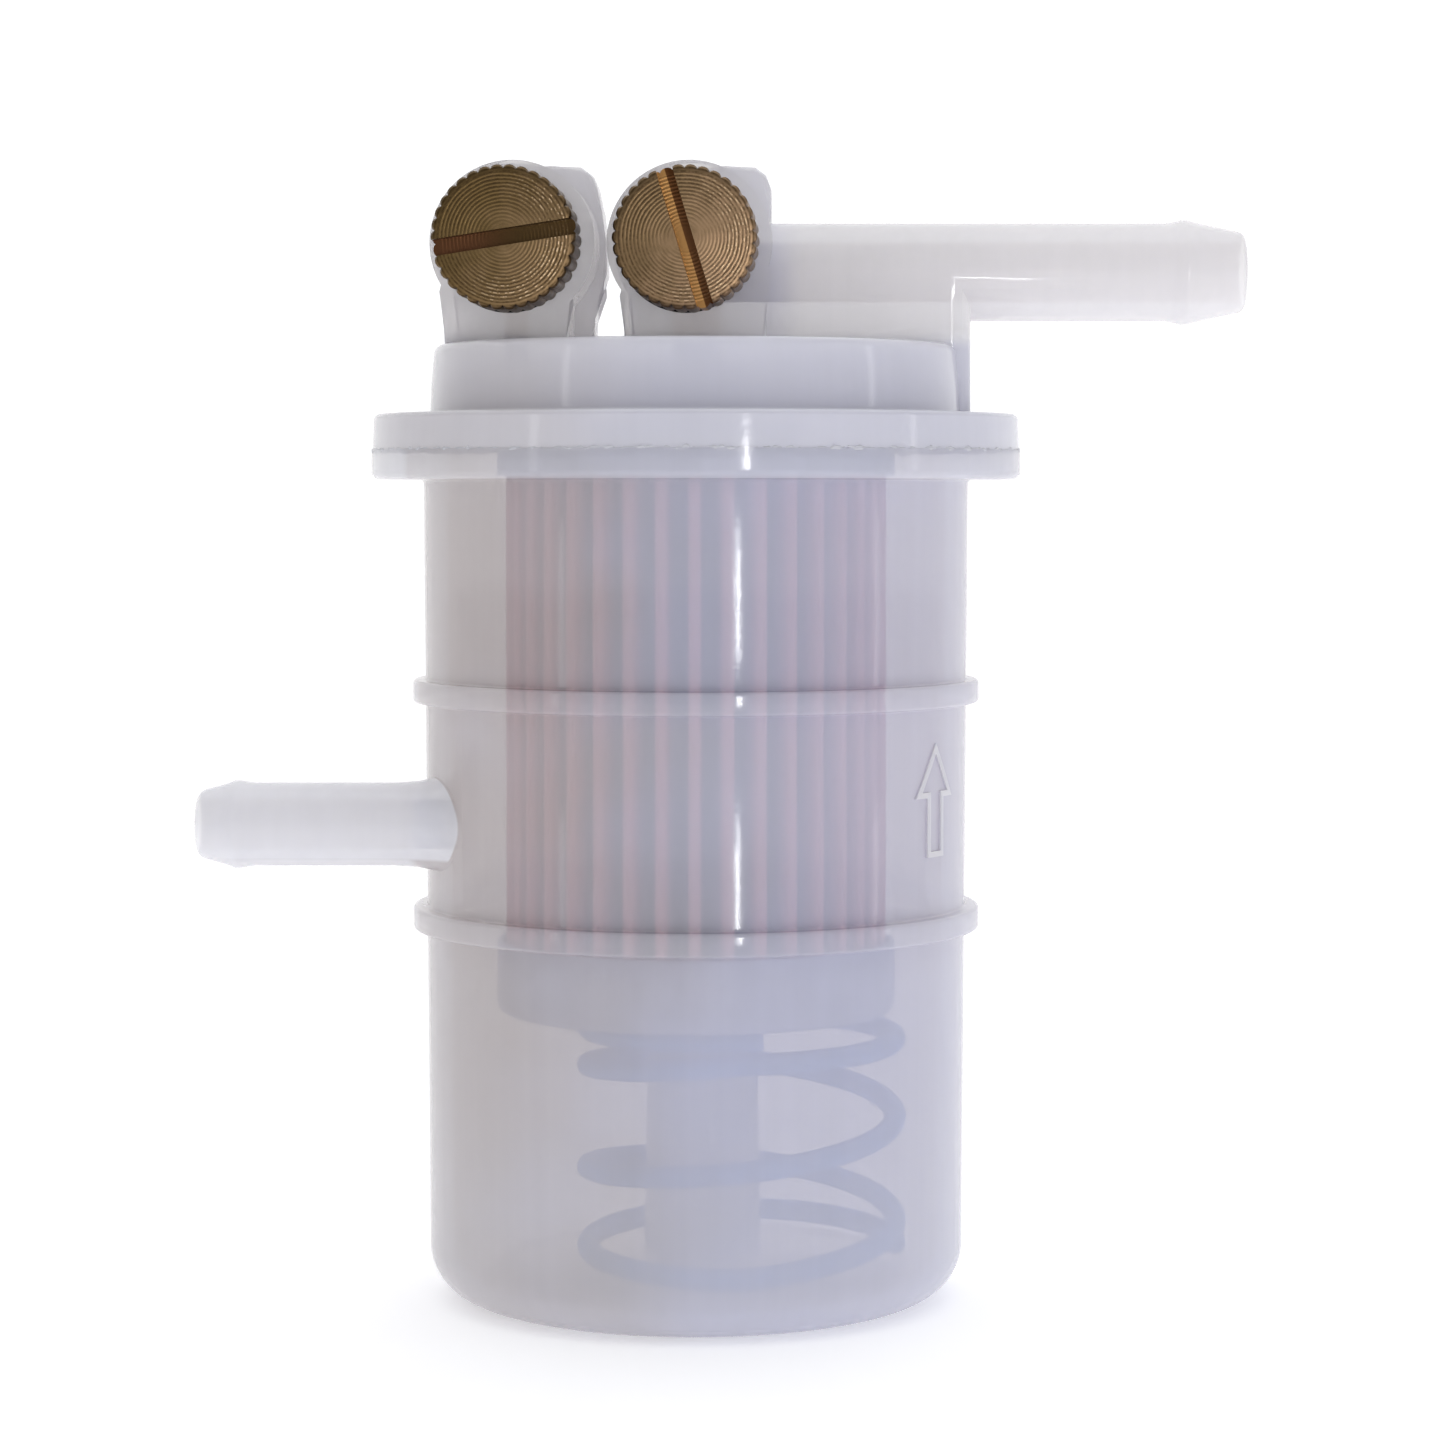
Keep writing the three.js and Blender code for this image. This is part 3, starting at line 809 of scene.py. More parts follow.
def pleat_mesh():
    """One pleat about the X axis: outer skin and inner skin of the folded sheet, with round folds."""
    half_pitch = math.pi / PLEATS
    valley = (PLEAT_INNER + PAPER) * math.sin(half_pitch)

    def skin(inset):
        half = PLEAT_HALF - inset
        crest = PLEAT_OUTER - inset
        fold = arc((crest - half, 0), half, -90, 90, 8)
        low = PLEAT_INNER + PAPER - inset
        root = [(low + 0.5, -half), (low + 0.15, -(half + valley) / 2 + inset / 2)]
        start = (low * math.cos(half_pitch), -low * math.sin(half_pitch))
        side = [start, *root, *fold, *[(x, -y) for x, y in reversed(root)]]
        return side + [(start[0], -start[1])]

    form = bmesh.new()
    levels = 24
    skins = [skin(0), skin(PAPER)]
    sheets = []
    for outline in skins:
        rings = []
        for level in range(levels + 1):
            height = paper_low.z + (paper_high.z - paper_low.z) * level / levels
            rings.append([form.verts.new((x, y, height)) for x, y in outline])
        sheets.append(rings)
        for lower, upper in zip(rings, rings[1:]):
            for k in range(len(outline) - 1):
                form.faces.new((lower[k], lower[k + 1], upper[k + 1], upper[k]))
    for end in (0, -1):
        outer, inner = sheets[0][end], sheets[1][end]
        for k in range(len(outer) - 1):
            form.faces.new((outer[k], outer[k + 1], inner[k + 1], inner[k]))
    bmesh.ops.scale(form, vec=(MM, MM, MM), verts=form.verts)
    mesh = bpy.data.meshes.new("pleat")
    form.to_mesh(mesh)
    form.free()
    return mesh


def filter_paper():
    """Pink-brown paper with fibres, with painted shade that makes it darker and bluer down in the folds than
    on the crests.
    """
    finish = Finish("filter_paper")
    x, y, z = finish.parts(finish.place)
    radius = (x * x + y * y) ** 0.5
    fibres = finish.cloud(0.5, detail=4, stretch=(1, 1, 3))
    patches = finish.cloud(5, detail=2, stretch=(1, 1, 4))
    crest = finish.blend(patches.step(0.3, 0.7), colour(222, 150, 164), colour(228, 168, 178))
    # Painted shade: darker and bluer towards the roots of the folds, lighter on the crests.
    shade = finish.blend(radius.step(14.5, 17.3), colour(164, 132, 182), crest)
    varied = {
        "Base Color": finish.blend(fibres.step(0.55, 0.8) * 0.3, shade, colour(222, 196, 184)),
        "Roughness": 0.75 + 0.2 * fibres,
        "Normal": finish.relief(fibres, 0.08),
    }
    return finish.surface(varied, {"Sheen Weight": 0.15})


paper_recipe = Recipe("pleat_ring", {
    "Pleats": PLEATS,
    "Sway": 0.16 * MM,
    "Sway Length": 90.0,
    "Seed": 4.0,
}, base=True)
pleat_count = paper_recipe.size("Pleats")
pleat_seeds = paper_recipe.add("GeometryNodePoints", inputs={"Count": pleat_count})
pleat_turn = paper_recipe.add("GeometryNodeInputIndex") * (2 * math.pi) / pleat_count
pleat_swing = paper_recipe.add("ShaderNodeCombineXYZ", inputs={"Z": pleat_turn})
fan = paper_recipe.add(
    "GeometryNodeInstanceOnPoints",
    inputs={"Points": pleat_seeds, "Instance": paper_recipe.base(), "Rotation": pleat_swing},
)
fan_mesh = paper_recipe.add("GeometryNodeRealizeInstances", inputs={0: fan})
sway_noise = paper_recipe.add(
    "ShaderNodeTexNoise",
    {"noise_dimensions": "4D"},
    {"Scale": paper_recipe.size("Sway Length"), "Detail": 1.0, "W": paper_recipe.size("Seed")},
    output="Color",
)
centred = paper_recipe.add(
    "ShaderNodeVectorMath", {"operation": "SUBTRACT"}, {0: sway_noise, 1: (0.5, 0.5, 0.5)}
)
level_only = paper_recipe.add(
    "ShaderNodeVectorMath", {"operation": "MULTIPLY"}, {0: centred, 1: (1.0, 1.0, 0.0)}
)
sway = paper_recipe.add(
    "ShaderNodeVectorMath", {"operation": "SCALE"}, {0: level_only, "Scale": paper_recipe.size("Sway")}
)
swayed = paper_recipe.add("GeometryNodeSetPosition", inputs={0: fan_mesh, "Offset": sway})
paper_recipe.finish(swayed, filter_paper())
paper = paper_recipe.grow("pleat_pack", pleat_mesh())
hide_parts("pleated_paper")
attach(paper, "element")

seam_clip = frame["nodes"]["pleat_seam_clip"]
seam_clip.data.materials.clear()
seam_clip.data.materials.append(plated("clip_steel", colour(150, 154, 166), 0.4))

# ------------------------------------------------------------------------------------------------
# Upper end cap and gasket: a shallow pressed cap potted on the paper, with a thick rubber ring on
# it that seals round the cap's spigot.
# ------------------------------------------------------------------------------------------------
upper_low, upper_high = node_box("element_top_cap")
seal_low, seal_high = node_box("element_gasket")
SPIGOT_HOLE = 4.9
upper_cap_profile = [
    (SPIGOT_HOLE, upper_high.z - SHEET),
    (element_radius - SHEET, upper_high.z - SHEET),
    (element_radius - SHEET, upper_low.z),
    (element_radius, upper_low.z),
    *arc((element_radius - 0.9, upper_high.z - 0.9), 0.9, 0, 90, 5),
    (SPIGOT_HOLE, upper_high.z),
]
upper_cap = piece_from(turned(upper_cap_profile, 128, closed=True), "upper_end_cap")
upper_cap.data.materials.append(cap_steel)
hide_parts("element_top_cap")
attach(upper_cap, "element")

top_bond_low, top_bond_high = node_box("top_bond")
upper_bond = piece_from(
    turned([
        (5.2, top_bond_low.z),
        (top_bond_high.x, top_bond_low.z),
        (top_bond_high.x, top_bond_high.z),
        (5.2, top_bond_high.z),
    ], 96, closed=True),
    "upper_bond",
)
upper_bond.data.materials.append(resin)
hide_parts("top_bond")
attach(upper_bond, "element")


def black_rubber():
    """Moulded nitrile: dull, with a fine grain and a little bloom."""
    finish = Finish("nitrile")
    grain = finish.cloud(0.12, detail=3)
    bloom = finish.cloud(2.5, detail=3)
    shade = finish.blend(bloom.step(0.45, 0.8), colour(26, 26, 25), colour(52, 52, 50))
    varied = {"Base Color": shade, "Roughness": 0.62 + 0.2 * bloom, "Normal": finish.relief(grain, 0.02)}
    return finish.surface(varied, {"IOR": 1.52})


def round_ring(inner, outer, low, high, edge):
    """A ring of rubber with rounded edges."""
    return [
        *arc((inner + edge, low + edge), edge, 180, 270, 4),
        *arc((outer - edge, low + edge), edge, 270, 360, 4),
        *arc((outer - edge, high - edge), edge, 0, 90, 4),
        *arc((inner + edge, high - edge), edge, 90, 180, 4),
    ]


nitrile = black_rubber()
GASKET_HOLE = 4.76
gasket_profile = round_ring(GASKET_HOLE, seal_high.x, seal_low.z, seal_high.z, 0.35)
gasket = piece_from(turned(gasket_profile, 96, closed=True), "gasket")
gasket.data.materials.append(nitrile)
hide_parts("element_gasket")
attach(gasket, "element")

# ------------------------------------------------------------------------------------------------
# Cap: the upper half of the housing, moulded in the same nylon. It carries the upper weld flange,
# the spigot for the element, two lugs for the bleed screws and the outlet barb on its pedestal.
# ------------------------------------------------------------------------------------------------
cap_low, cap_high = node_box("cap")
CAP_FLANGE_TOP = 80.8
CAP_TOP = 87.2
CAP_PLATE = 2.2
CAP_DRUM = 24.5
OUTLET_END = cap_high.x - 0.35
OUTLET_HEIGHT = 93.9
OUTLET_RADIUS = 4.5
LUG_HEIGHT = 96.3
LUG_RADIUS = 7.5
LUG_HALF = 5.5
LUG_TURN = -2.5
LUG_XS = {"left": -16.4, "right": -0.35}
REAR_SHIFT = 0.35
PEDESTAL_END = 25.1

ceiling = CAP_TOP - CAP_PLATE
cap_lining = BOWL_TOP_RADIUS - WALL
seat_height = seal_high.z + 0.05
cap_profile = [
    (0, cap_low.z),
    (3.9, cap_low.z),
    (4.5, cap_low.z + 0.8),
    *arc((4.5 + 0.5, ceiling - 0.5), 0.5, 180, 90, 3),
    (5.6, ceiling),
    (5.6, seat_height + 0.2),
    (5.8, seat_height),
    (7.0, seat_height),
    (7.2, seat_height + 0.2),
    *arc((7.2 + 0.5, ceiling - 0.5), 0.5, 180, 90, 3),
    *arc((cap_lining - 1.5, ceiling - 1.5), 1.5, 90, 0, 6),
    (cap_lining, WELD_HEIGHT),
    (FLANGE_RADIUS - 0.32, WELD_HEIGHT),
    (FLANGE_RADIUS - 0.45, CAP_FLANGE_TOP - 0.4),
    *arc((FLANGE_RADIUS - 0.9, CAP_FLANGE_TOP - 0.4), 0.4, 0, 90, 4),
    *arc((CAP_DRUM + 0.3, CAP_FLANGE_TOP + 0.4), 0.4, 270, 180, 4),
    (CAP_DRUM - 0.2, 83.6),
    (CAP_DRUM - 0.35, 85.3),
    *arc((CAP_DRUM - 1.37, CAP_TOP - 0.93), 0.93, 9, 90, 7),
    (0, CAP_TOP),
]


def on_screw_axis(x):
    """Moves that stand an XY outline upright on a screw axis, with its Z pointing out to the front."""
    return turn(90, "X"), turn(LUG_TURN, "Z"), shift(x, 0, LUG_HEIGHT)


def rounded_edges(form, radius):
    """Rounds the two outline edges of a pulled form."""
    ends = [e for e in form.edges if abs(e.verts[0].co.z - e.verts[1].co.z) < 1e-6]
    bmesh.ops.bevel(form, geom=ends, offset=radius, segments=3, affect="EDGES", profile=0.5)
    return form


def eye_outline(neck_left, neck_right):
    """A round eye on a neck that stands on the cap, seen from the front."""
    foot_height = CAP_TOP - 1 - LUG_HEIGHT
    left = 180 + math.degrees(math.acos(-neck_left / LUG_RADIUS))
    right = -math.degrees(math.acos(neck_right / LUG_RADIUS))
    neck = arc((0, 0), LUG_RADIUS, right, left, 60)
    return [(neck_left, foot_height), (neck_right, foot_height), *neck]


# The rear of each lug swells towards the outlet side and has a squared upper corner.
REAR_OUTLINE = [
    (-3, -9.6), (6.6, -9.6), (6.7, -6.7), (7.1, -4.3), (7.75, -2.6), (7.7, 0.5), (7.35, 3.2),
    (6.9, 5.4), (6.4, 6.6), (5.4, 7.35), (2.6, 7.46), (0, 7.4), (-3, 5),
]
REAR_REACH = {"left": 7.75, "right": 6.85}


def lug(side, neck_left, neck_right):
    x = LUG_XS[side]
    eye = rounded_edges(pulled(eye_outline(neck_left, neck_right), -LUG_HALF, LUG_HALF), 0.45)
    rear_outline = [(min(across, REAR_REACH[side]), up) for across, up in REAR_OUTLINE]
    rear = rounded_edges(pulled(rear_outline, -LUG_HALF, -LUG_HALF + 4.5), 0.4)
    whole = piece_from(placed(eye, *on_screw_axis(x)), "lug")
    return join_and_cut(whole, [piece_from(placed(rear, *on_screw_axis(x + REAR_SHIFT)), "lug_rear")])


pedestal_outline = [
    (0, -OUTLET_RADIUS),
    *arc((PEDESTAL_END - 2, 2 - OUTLET_RADIUS), 2, -90, 0, 8),
    *arc((PEDESTAL_END - 2, OUTLET_RADIUS - 2), 2, 0, 90, 8),
    (0, OUTLET_RADIUS),
]
to_outlet = (turn(90, "Y"), shift(0, 0, OUTLET_HEIGHT))
outlet_profile = barb(0, OUTLET_END, OUTLET_RADIUS, 4.8, OUTLET_END - 5.6, 3.75, 0.7, 0.01)
pedestal = piece_from(pulled(pedestal_outline, CAP_TOP - 1, OUTLET_HEIGHT), "pedestal")
foot_outline = [(CAP_DRUM - 1.2, -OUTLET_RADIUS), *pedestal_outline[1:-1], (CAP_DRUM - 1.2, OUTLET_RADIUS)]
pedestal_foot = piece_from(pulled(foot_outline, CAP_FLANGE_TOP - 0.3, CAP_TOP), "pedestal_foot")
outlet = piece_from(placed(turned(outlet_profile, 96), *to_outlet), "outlet")
OUTLET_BORE = 2.75
OUTLET_MOUTH = 3.2
bore_profile = [
    (0, -2),
    (OUTLET_BORE, -2),
    (OUTLET_BORE, OUTLET_END - 0.4),
    (OUTLET_MOUTH, OUTLET_END + 0.1),
    (OUTLET_MOUTH, 60),
    (0, 60),
]
outlet_bore = piece_from(placed(turned(bore_profile, 64), *to_outlet), "outlet_bore")
DUCT_RADIUS = 2.2
duct_profile = [(0, 60), (DUCT_RADIUS, 60), (DUCT_RADIUS, OUTLET_HEIGHT), (0, OUTLET_HEIGHT)]
duct = piece_from(placed(turned(duct_profile, 48), shift(0, 0.8, 0)), "duct")
cuts = [outlet_bore, duct]
SCREW_HOLE = 4.05
SCREW_MOUTH = SCREW_HOLE + 0.6
hole = [(0, 1.2), (SCREW_HOLE, 1.2), (SCREW_HOLE, 5.1), (SCREW_MOUTH, 5.7), (SCREW_MOUTH, 9), (0, 9)]
for x in LUG_XS.values():
    cuts.append(piece_from(placed(turned(hole, 64), *on_screw_axis(x)), "screw_hole"))
VENT_RADIUS = 1.1
vent_profile = [
    (0, ceiling - 1),
    (VENT_RADIUS, ceiling - 1),
    (VENT_RADIUS, LUG_HEIGHT - 1),
    (0, LUG_HEIGHT - 1),
]
cuts.append(piece_from(placed(turned(vent_profile, 24), shift(LUG_XS["left"], -3, 0)), "left_vent"))
cap = join_and_cut(
    piece_from(turned(cap_profile), "cap_moulding"),
    [pedestal, pedestal_foot, lug("left", -6.15, 5.15), lug("right", -5.85, 7.0), outlet],
    cuts,
)


LUG_TONE = colour(240, 240, 247)


def cap_thick(x, y, z, radius):
    """What stands on the drum is thick and lighter."""
    outlet_side = x.step(7, 10)
    return 0.5 + (0.15 + 0.35 * outlet_side) * z.step(CAP_TOP - 0.6, CAP_TOP + 0.6)


def cap_opacity(x, y, z, radius):
    """Drum and flange are milky, and more light passes the lugs and the outlet."""
    upper = z.step(CAP_TOP - 0.3, CAP_TOP + 1.5)
    outlet_side = x.step(7, 10)
    bore = 1 - (y ** 2 + (z - OUTLET_HEIGHT) ** 2).step(7.8, 10)
    standing = 0.6 - 0.06 * outlet_side - 0.3 * bore * outlet_side
    left_vent = 1 - ((x - LUG_XS["left"]) ** 2 + (y + 3) ** 2).step(1.6, 2.6)
    in_duct = 1 - (x ** 2 + (y - 0.8) ** 2).step(5.2, 6.5)
    standing = standing * (1 - 0.9 * left_vent.of("MAXIMUM", in_duct))
    lining = 1 - radius.step(cap_lining + 0.2, cap_lining + 1)
    inside = lining * (1 - z.step(ceiling + 0.2, CAP_TOP - 0.5))
    return (0.84 - 0.5 * inside) * (1 - upper) + standing * upper


cap.data.materials.clear()
cap.data.materials.append(nylon("cap_nylon", cap_opacity, cap_thick, LUG_TONE))
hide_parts("cap")
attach(cap, "housing")

# ------------------------------------------------------------------------------------------------
# Weld bead: bowl and cap are spun or hot-plate welded at their flanges. The nylon squeezed out of
# the joint sets as a thin ragged line all round the rim.
# ------------------------------------------------------------------------------------------------
bead_recipe = Recipe("weld_bead", {
    "Steps": 900,
    "Radius": (FLANGE_RADIUS - 0.42) * MM,
    "Bead": 0.24 * MM,
    "Height": WELD_HEIGHT * MM,
    "Ragged": 0.9 * MM,
    "Grain": 900.0,
    "Seed": 7.0,
})
rim = bead_recipe.add(
    "GeometryNodeCurvePrimitiveCircle",
    inputs={"Resolution": bead_recipe.size("Steps"), "Radius": bead_recipe.size("Radius")},
)
section = bead_recipe.add(
    "GeometryNodeCurvePrimitiveCircle", inputs={"Resolution": 10, "Radius": bead_recipe.size("Bead")}
)
bead = bead_recipe.add("GeometryNodeCurveToMesh", inputs={"Curve": rim, "Profile Curve": section})
lifted = bead_recipe.add("ShaderNodeCombineXYZ", inputs={"Z": bead_recipe.size("Height")})
bead_up = bead_recipe.add("GeometryNodeTransform", inputs={0: bead, "Translation": lifted})
ragged = bead_recipe.add(
    "ShaderNodeTexNoise",
    {"noise_dimensions": "4D"},
    {"Scale": bead_recipe.size("Grain"), "Detail": 3.0, "Roughness": 0.7, "W": bead_recipe.size("Seed")},
    output="Color",
)
about = bead_recipe.add("ShaderNodeVectorMath", {"operation": "SUBTRACT"}, {0: ragged, 1: (0.62, 0.62, 0.5)})
outwards = bead_recipe.add("GeometryNodeInputNormal")
push = bead_recipe.add("ShaderNodeSeparateXYZ", inputs={0: about})
bulge_by = push.out("X") * bead_recipe.size("Ragged")
bulge = bead_recipe.add("ShaderNodeVectorMath", {"operation": "SCALE"}, {0: outwards, "Scale": bulge_by})
sag = bead_recipe.add("ShaderNodeCombineXYZ", inputs={"Z": push.out("Z") * bead_recipe.size("Ragged") * 0.8})
bead_shift = bead_recipe.add("ShaderNodeVectorMath", {"operation": "ADD"}, {0: bulge, 1: sag})
bead_mesh = bead_recipe.add("GeometryNodeSetPosition", inputs={0: bead_up, "Offset": bead_shift})


def bead_opacity(x, y, z, radius):
    return z * 0.0 + 0.6


def bead_thick(x, y, z, radius):
    return z * 0.0 + 1.0


bead_recipe.finish(bead_mesh, nylon("bead_nylon", bead_opacity, bead_thick))
weld_bead = bead_recipe.grow("weld_bead")
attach(weld_bead, "housing")

# ------------------------------------------------------------------------------------------------
# Sealing washers: flat nitrile rings squeezed between each screw head and its lug. Each sits a
# little off centre, so that an edge of it shows beside the head.
# ------------------------------------------------------------------------------------------------
WASHER_THICK = 0.8
WASHER_GAP = 0.05
WASHER_SHIFT = (-0.25, -0.12)
for side, x in LUG_XS.items():
    low = LUG_HALF + WASHER_GAP
    flat_ring = round_ring(4.35, 6.25, low, low + WASHER_THICK, 0.2)
    form = placed(turned(flat_ring, 96, closed=True), shift(*WASHER_SHIFT, 0), *on_screw_axis(x))
    washer = piece_from(form, side + "_washer_ring")
    washer.data.materials.append(nitrile)
    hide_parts(side + "_sealing_washer")
    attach(washer, side + "_washer")

# ------------------------------------------------------------------------------------------------
# Bleed screws: turned from brass bar, with a straight coarse knurl, a sawn slot right across and
# the tool's rings left on the face. The shank has a right-handed thread of 1 mm pitch.
# ------------------------------------------------------------------------------------------------
HEAD_RADIUS = 6.45
KNURL_DEPTH = 0.28
KNURL_TEETH = 34
HEAD_FOOT = LUG_HALF + WASHER_THICK + 2 * WASHER_GAP
HEAD_FACE = HEAD_FOOT + 7.35
SHANK_RADIUS = 3.95
SHANK_END = HEAD_FOOT - 3.9
THREAD_PITCH = 1.0
SLOT_WIDTH = 1.5
SLOT_DEPTH = 1.6
SLOT_ANGLES = {"left": 8.8, "right": 106.8}
RING_STEP = 0.33
RING_DEPTH = 0.022


def knurl_tooth():
    """One tooth of the head about the X axis: its flank, its chamfers and its share of both faces."""
    half = math.pi / KNURL_TEETH
    across = [(-1.0, 0.0), (-0.8, 0.5), (-0.45, 0.88), (0.0, 1.0), (0.45, 0.88), (0.8, 0.5), (1.0, 0.0)]
    face_radii = [HEAD_RADIUS - KNURL_DEPTH - 0.45 - RING_STEP * k / 2 for k in range(41)]
    face = [
        (r, HEAD_FACE - (RING_DEPTH if k % 2 else 0.0) * min(1.0, r / 3.0))
        for k, r in enumerate(face_radii) if r > 0.3
    ]
    profile = [
        (0.0, HEAD_FOOT, 0.0),
        (HEAD_RADIUS - 1.2, HEAD_FOOT, 0.0),
        (HEAD_RADIUS - 0.75, HEAD_FOOT + 0.1, 0.2),
        (HEAD_RADIUS - KNURL_DEPTH, HEAD_FOOT + 0.5, 1.0),
        (HEAD_RADIUS - KNURL_DEPTH, (HEAD_FOOT + HEAD_FACE) / 2, 1.0),
        (HEAD_RADIUS - KNURL_DEPTH, HEAD_FACE - 0.35, 1.0),
        (HEAD_RADIUS - KNURL_DEPTH - 0.12, HEAD_FACE - 0.1, 0.75),
        (HEAD_RADIUS - KNURL_DEPTH - 0.3, HEAD_FACE - 0.01, 0.3),
        *[(r, h, 0.0) for r, h in face],
        (0.0, HEAD_FACE, 0.0),
    ]
    form = bmesh.new()
    grid = []
    for radius, height, tooth in profile:
        if radius == 0.0:
            grid.append([form.verts.new((0, 0, height))])
            continue
        row_of = []
        for share, crest in across:
            r = radius + KNURL_DEPTH * tooth * crest
            row_of.append(form.verts.new((r * math.cos(share * half), r * math.sin(share * half), height)))
        grid.append(row_of)
    for lower, upper in zip(grid, grid[1:]):
        for k in range(len(across) - 1):
            corners = [lower[min(k, len(lower) - 1)], lower[min(k + 1, len(lower) - 1)]]
            corners += [upper[min(k + 1, len(upper) - 1)], upper[min(k, len(upper) - 1)]]
            kept = list(dict.fromkeys(corners))
            if len(kept) > 2:
                form.faces.new(kept)
    bmesh.ops.scale(form, vec=(MM, MM, MM), verts=form.verts)
    mesh = bpy.data.meshes.new("knurl_tooth")
    form.to_mesh(mesh)
    form.free()
    return mesh


def turned_brass(name, x, slot_angle, tones, slot_tones):
    """Brown brass about its own axis, with painted light and shade: lighter towards the head's lower right,
    painted shade in the face's rings and over the knurl and its grooves, painted glints on the outer rings,
    and a slot painted part lit and part in shade.
    """
    finish = Finish(name)
    centred_place = finish.moved(finish.place, location=(-x, 0, -LUG_HEIGHT))
    own = finish.moved(centred_place, rotation=(0, 0, math.radians(-LUG_TURN)))
    across, out, up = finish.parts(own)
    radius = (across * across + up * up) ** 0.5
    depth = 0 - out
    wander = finish.cloud(1.8, detail=2)
    rings = ((radius + wander * 0.12) * (2 * math.pi / RING_STEP)).of("SINE")
    broken = finish.cloud(0.3, detail=3)
    mottle = finish.cloud(1.2, detail=4)
    # Painted light: the head is painted lighter towards its lower right and darker towards its upper left.
    painted_lit_side = (across - up * 0.5 + (mottle - 0.5) * 9).step(-5, 7)
    base = finish.blend(painted_lit_side, *tones)
    # Painted shade: broken dark bands in the face's rings stand in for the rings' reflections.
    painted_ring_shade = radius.step(1.2, 5.0) * (0.5 - rings * 0.5) * (0.35 + 0.65 * broken.step(0.35, 0.6))
    shade = finish.blend(painted_ring_shade * 0.75, base, colour(66, 50, 32))
    outer_rings = radius.step(2.8, 4.6) * (1 - radius.step(5.6, 5.9))
    # Painted glint: bright crests on the outer rings, towards the lower right of the head.
    painted_glint = outer_rings * rings.step(0.1, 0.9) * broken.step(0.5, 0.62)
    shade = finish.blend(painted_glint * (across - up * 0.4).step(-3, 5) * 0.85, shade, colour(250, 218, 176))
    # Painted shade over the knurl at the head's outer edge.
    shade = finish.blend(radius.step(5.8, 6.15) * 0.35, shade, colour(66, 52, 32))
    # Painted shade in the knurl's grooves, along the flank below the face.
    groove = (1 - radius.step(HEAD_RADIUS - KNURL_DEPTH - 0.02, HEAD_RADIUS - 0.08)) * radius.step(5.7, 6.1)
    flank = 1 - depth.step(HEAD_FACE - 0.5, HEAD_FACE - 0.1)
    shade = finish.blend(groove * flank * 0.6, shade, colour(82, 62, 36))
    # Painted light and shade in the slot: its floor is painted darker, with one part lit and the other in
    # shade.
    in_slot = 1 - depth.step(HEAD_FACE - SLOT_DEPTH + 0.02, HEAD_FACE - 0.16)
    slot_line = across * math.sin(math.radians(slot_angle)) - up * math.cos(math.radians(slot_angle))
    slot_near = 1 - slot_line.of("ABSOLUTE").step(SLOT_WIDTH / 2 + 0.01, SLOT_WIDTH / 2 + 0.04)
    slot_along = across * math.cos(math.radians(slot_angle)) + up * math.sin(math.radians(slot_angle))
    slot_share = slot_line.step(-0.05, 0.05) if slot_angle > 45 else slot_along.step(-3.5, 2)
    shade = finish.blend(in_slot * slot_near * 0.9, shade, finish.blend(slot_share, *slot_tones))
    ring_relief = finish.relief(rings * radius.step(0.4, 3.5) * (1 - radius.step(5.6, 5.9)), 0.012)
    normal = finish.relief(broken * 0.6 + mottle * 0.4, 0.012, ring_relief)
    varied = {"Base Color": shade, "Roughness": 0.3 + 0.22 * mottle, "Normal": normal}
    return finish.surface(varied, {"Metallic": 1.0})


def threaded_shank():
    """A shank with a right-handed ridge, run out at both ends, as one closed form."""
    columns_round, per_pitch = 48, 8
    length = HEAD_FOOT + 0.5 - SHANK_END
    levels = int(length / THREAD_PITCH * per_pitch)
    form = bmesh.new()
    loops = []
    for level in range(levels + 1):
        height = SHANK_END + length * level / levels
        fade = min(1.0, (height - SHANK_END) / 0.8, max(0.0, (HEAD_FOOT - 0.6 - height) / 0.6))
        loop = []
        for k in range(columns_round):
            phase = (height / THREAD_PITCH - k / columns_round) % 1.0
            ridge = abs(2 * phase - 1)
            radius = SHANK_RADIUS - 0.55 + 0.55 * ridge * max(0.0, fade)
            angle = 2 * math.pi * k / columns_round
            loop.append(form.verts.new((radius * math.cos(angle), radius * math.sin(angle), height)))
        loops.append(loop)
    for lower, upper in zip(loops, loops[1:]):
        for k in range(columns_round):
            after = (k + 1) % columns_round
            form.faces.new((lower[k], lower[after], upper[after], upper[k]))
    tip = form.verts.new((0, 0, SHANK_END - 0.8))
    nose = [form.verts.new((2.6 * math.cos(2 * math.pi * k / columns_round),
                            2.6 * math.sin(2 * math.pi * k / columns_round), SHANK_END - 0.8))
            for k in range(columns_round)]
    for k in range(columns_round):
        after = (k + 1) % columns_round
        form.faces.new((nose[k], nose[after], loops[0][after], loops[0][k]))
        form.faces.new((tip, nose[after], nose[k]))
    form.faces.new(loops[-1])
    return form


head_recipe = Recipe("knurled_head", {"Teeth": KNURL_TEETH}, base=True)
teeth = head_recipe.size("Teeth")
tooth_seeds = head_recipe.add("GeometryNodePoints", inputs={"Count": teeth})
tooth_turn = head_recipe.add("GeometryNodeInputIndex") * (2 * math.pi) / teeth
tooth_swing = head_recipe.add("ShaderNodeCombineXYZ", inputs={"Z": tooth_turn})
knurl = head_recipe.add(
    "GeometryNodeInstanceOnPoints",
    inputs={"Points": tooth_seeds, "Instance": head_recipe.base(), "Rotation": tooth_swing},
)
# Each pair is the painted shade and the painted light at the two ends of a head's gradient.
BRASS_TONES = {
    "left": (colour(112, 91, 58), colour(146, 120, 88)),
    "right": (colour(134, 110, 80), colour(182, 150, 118)),
}
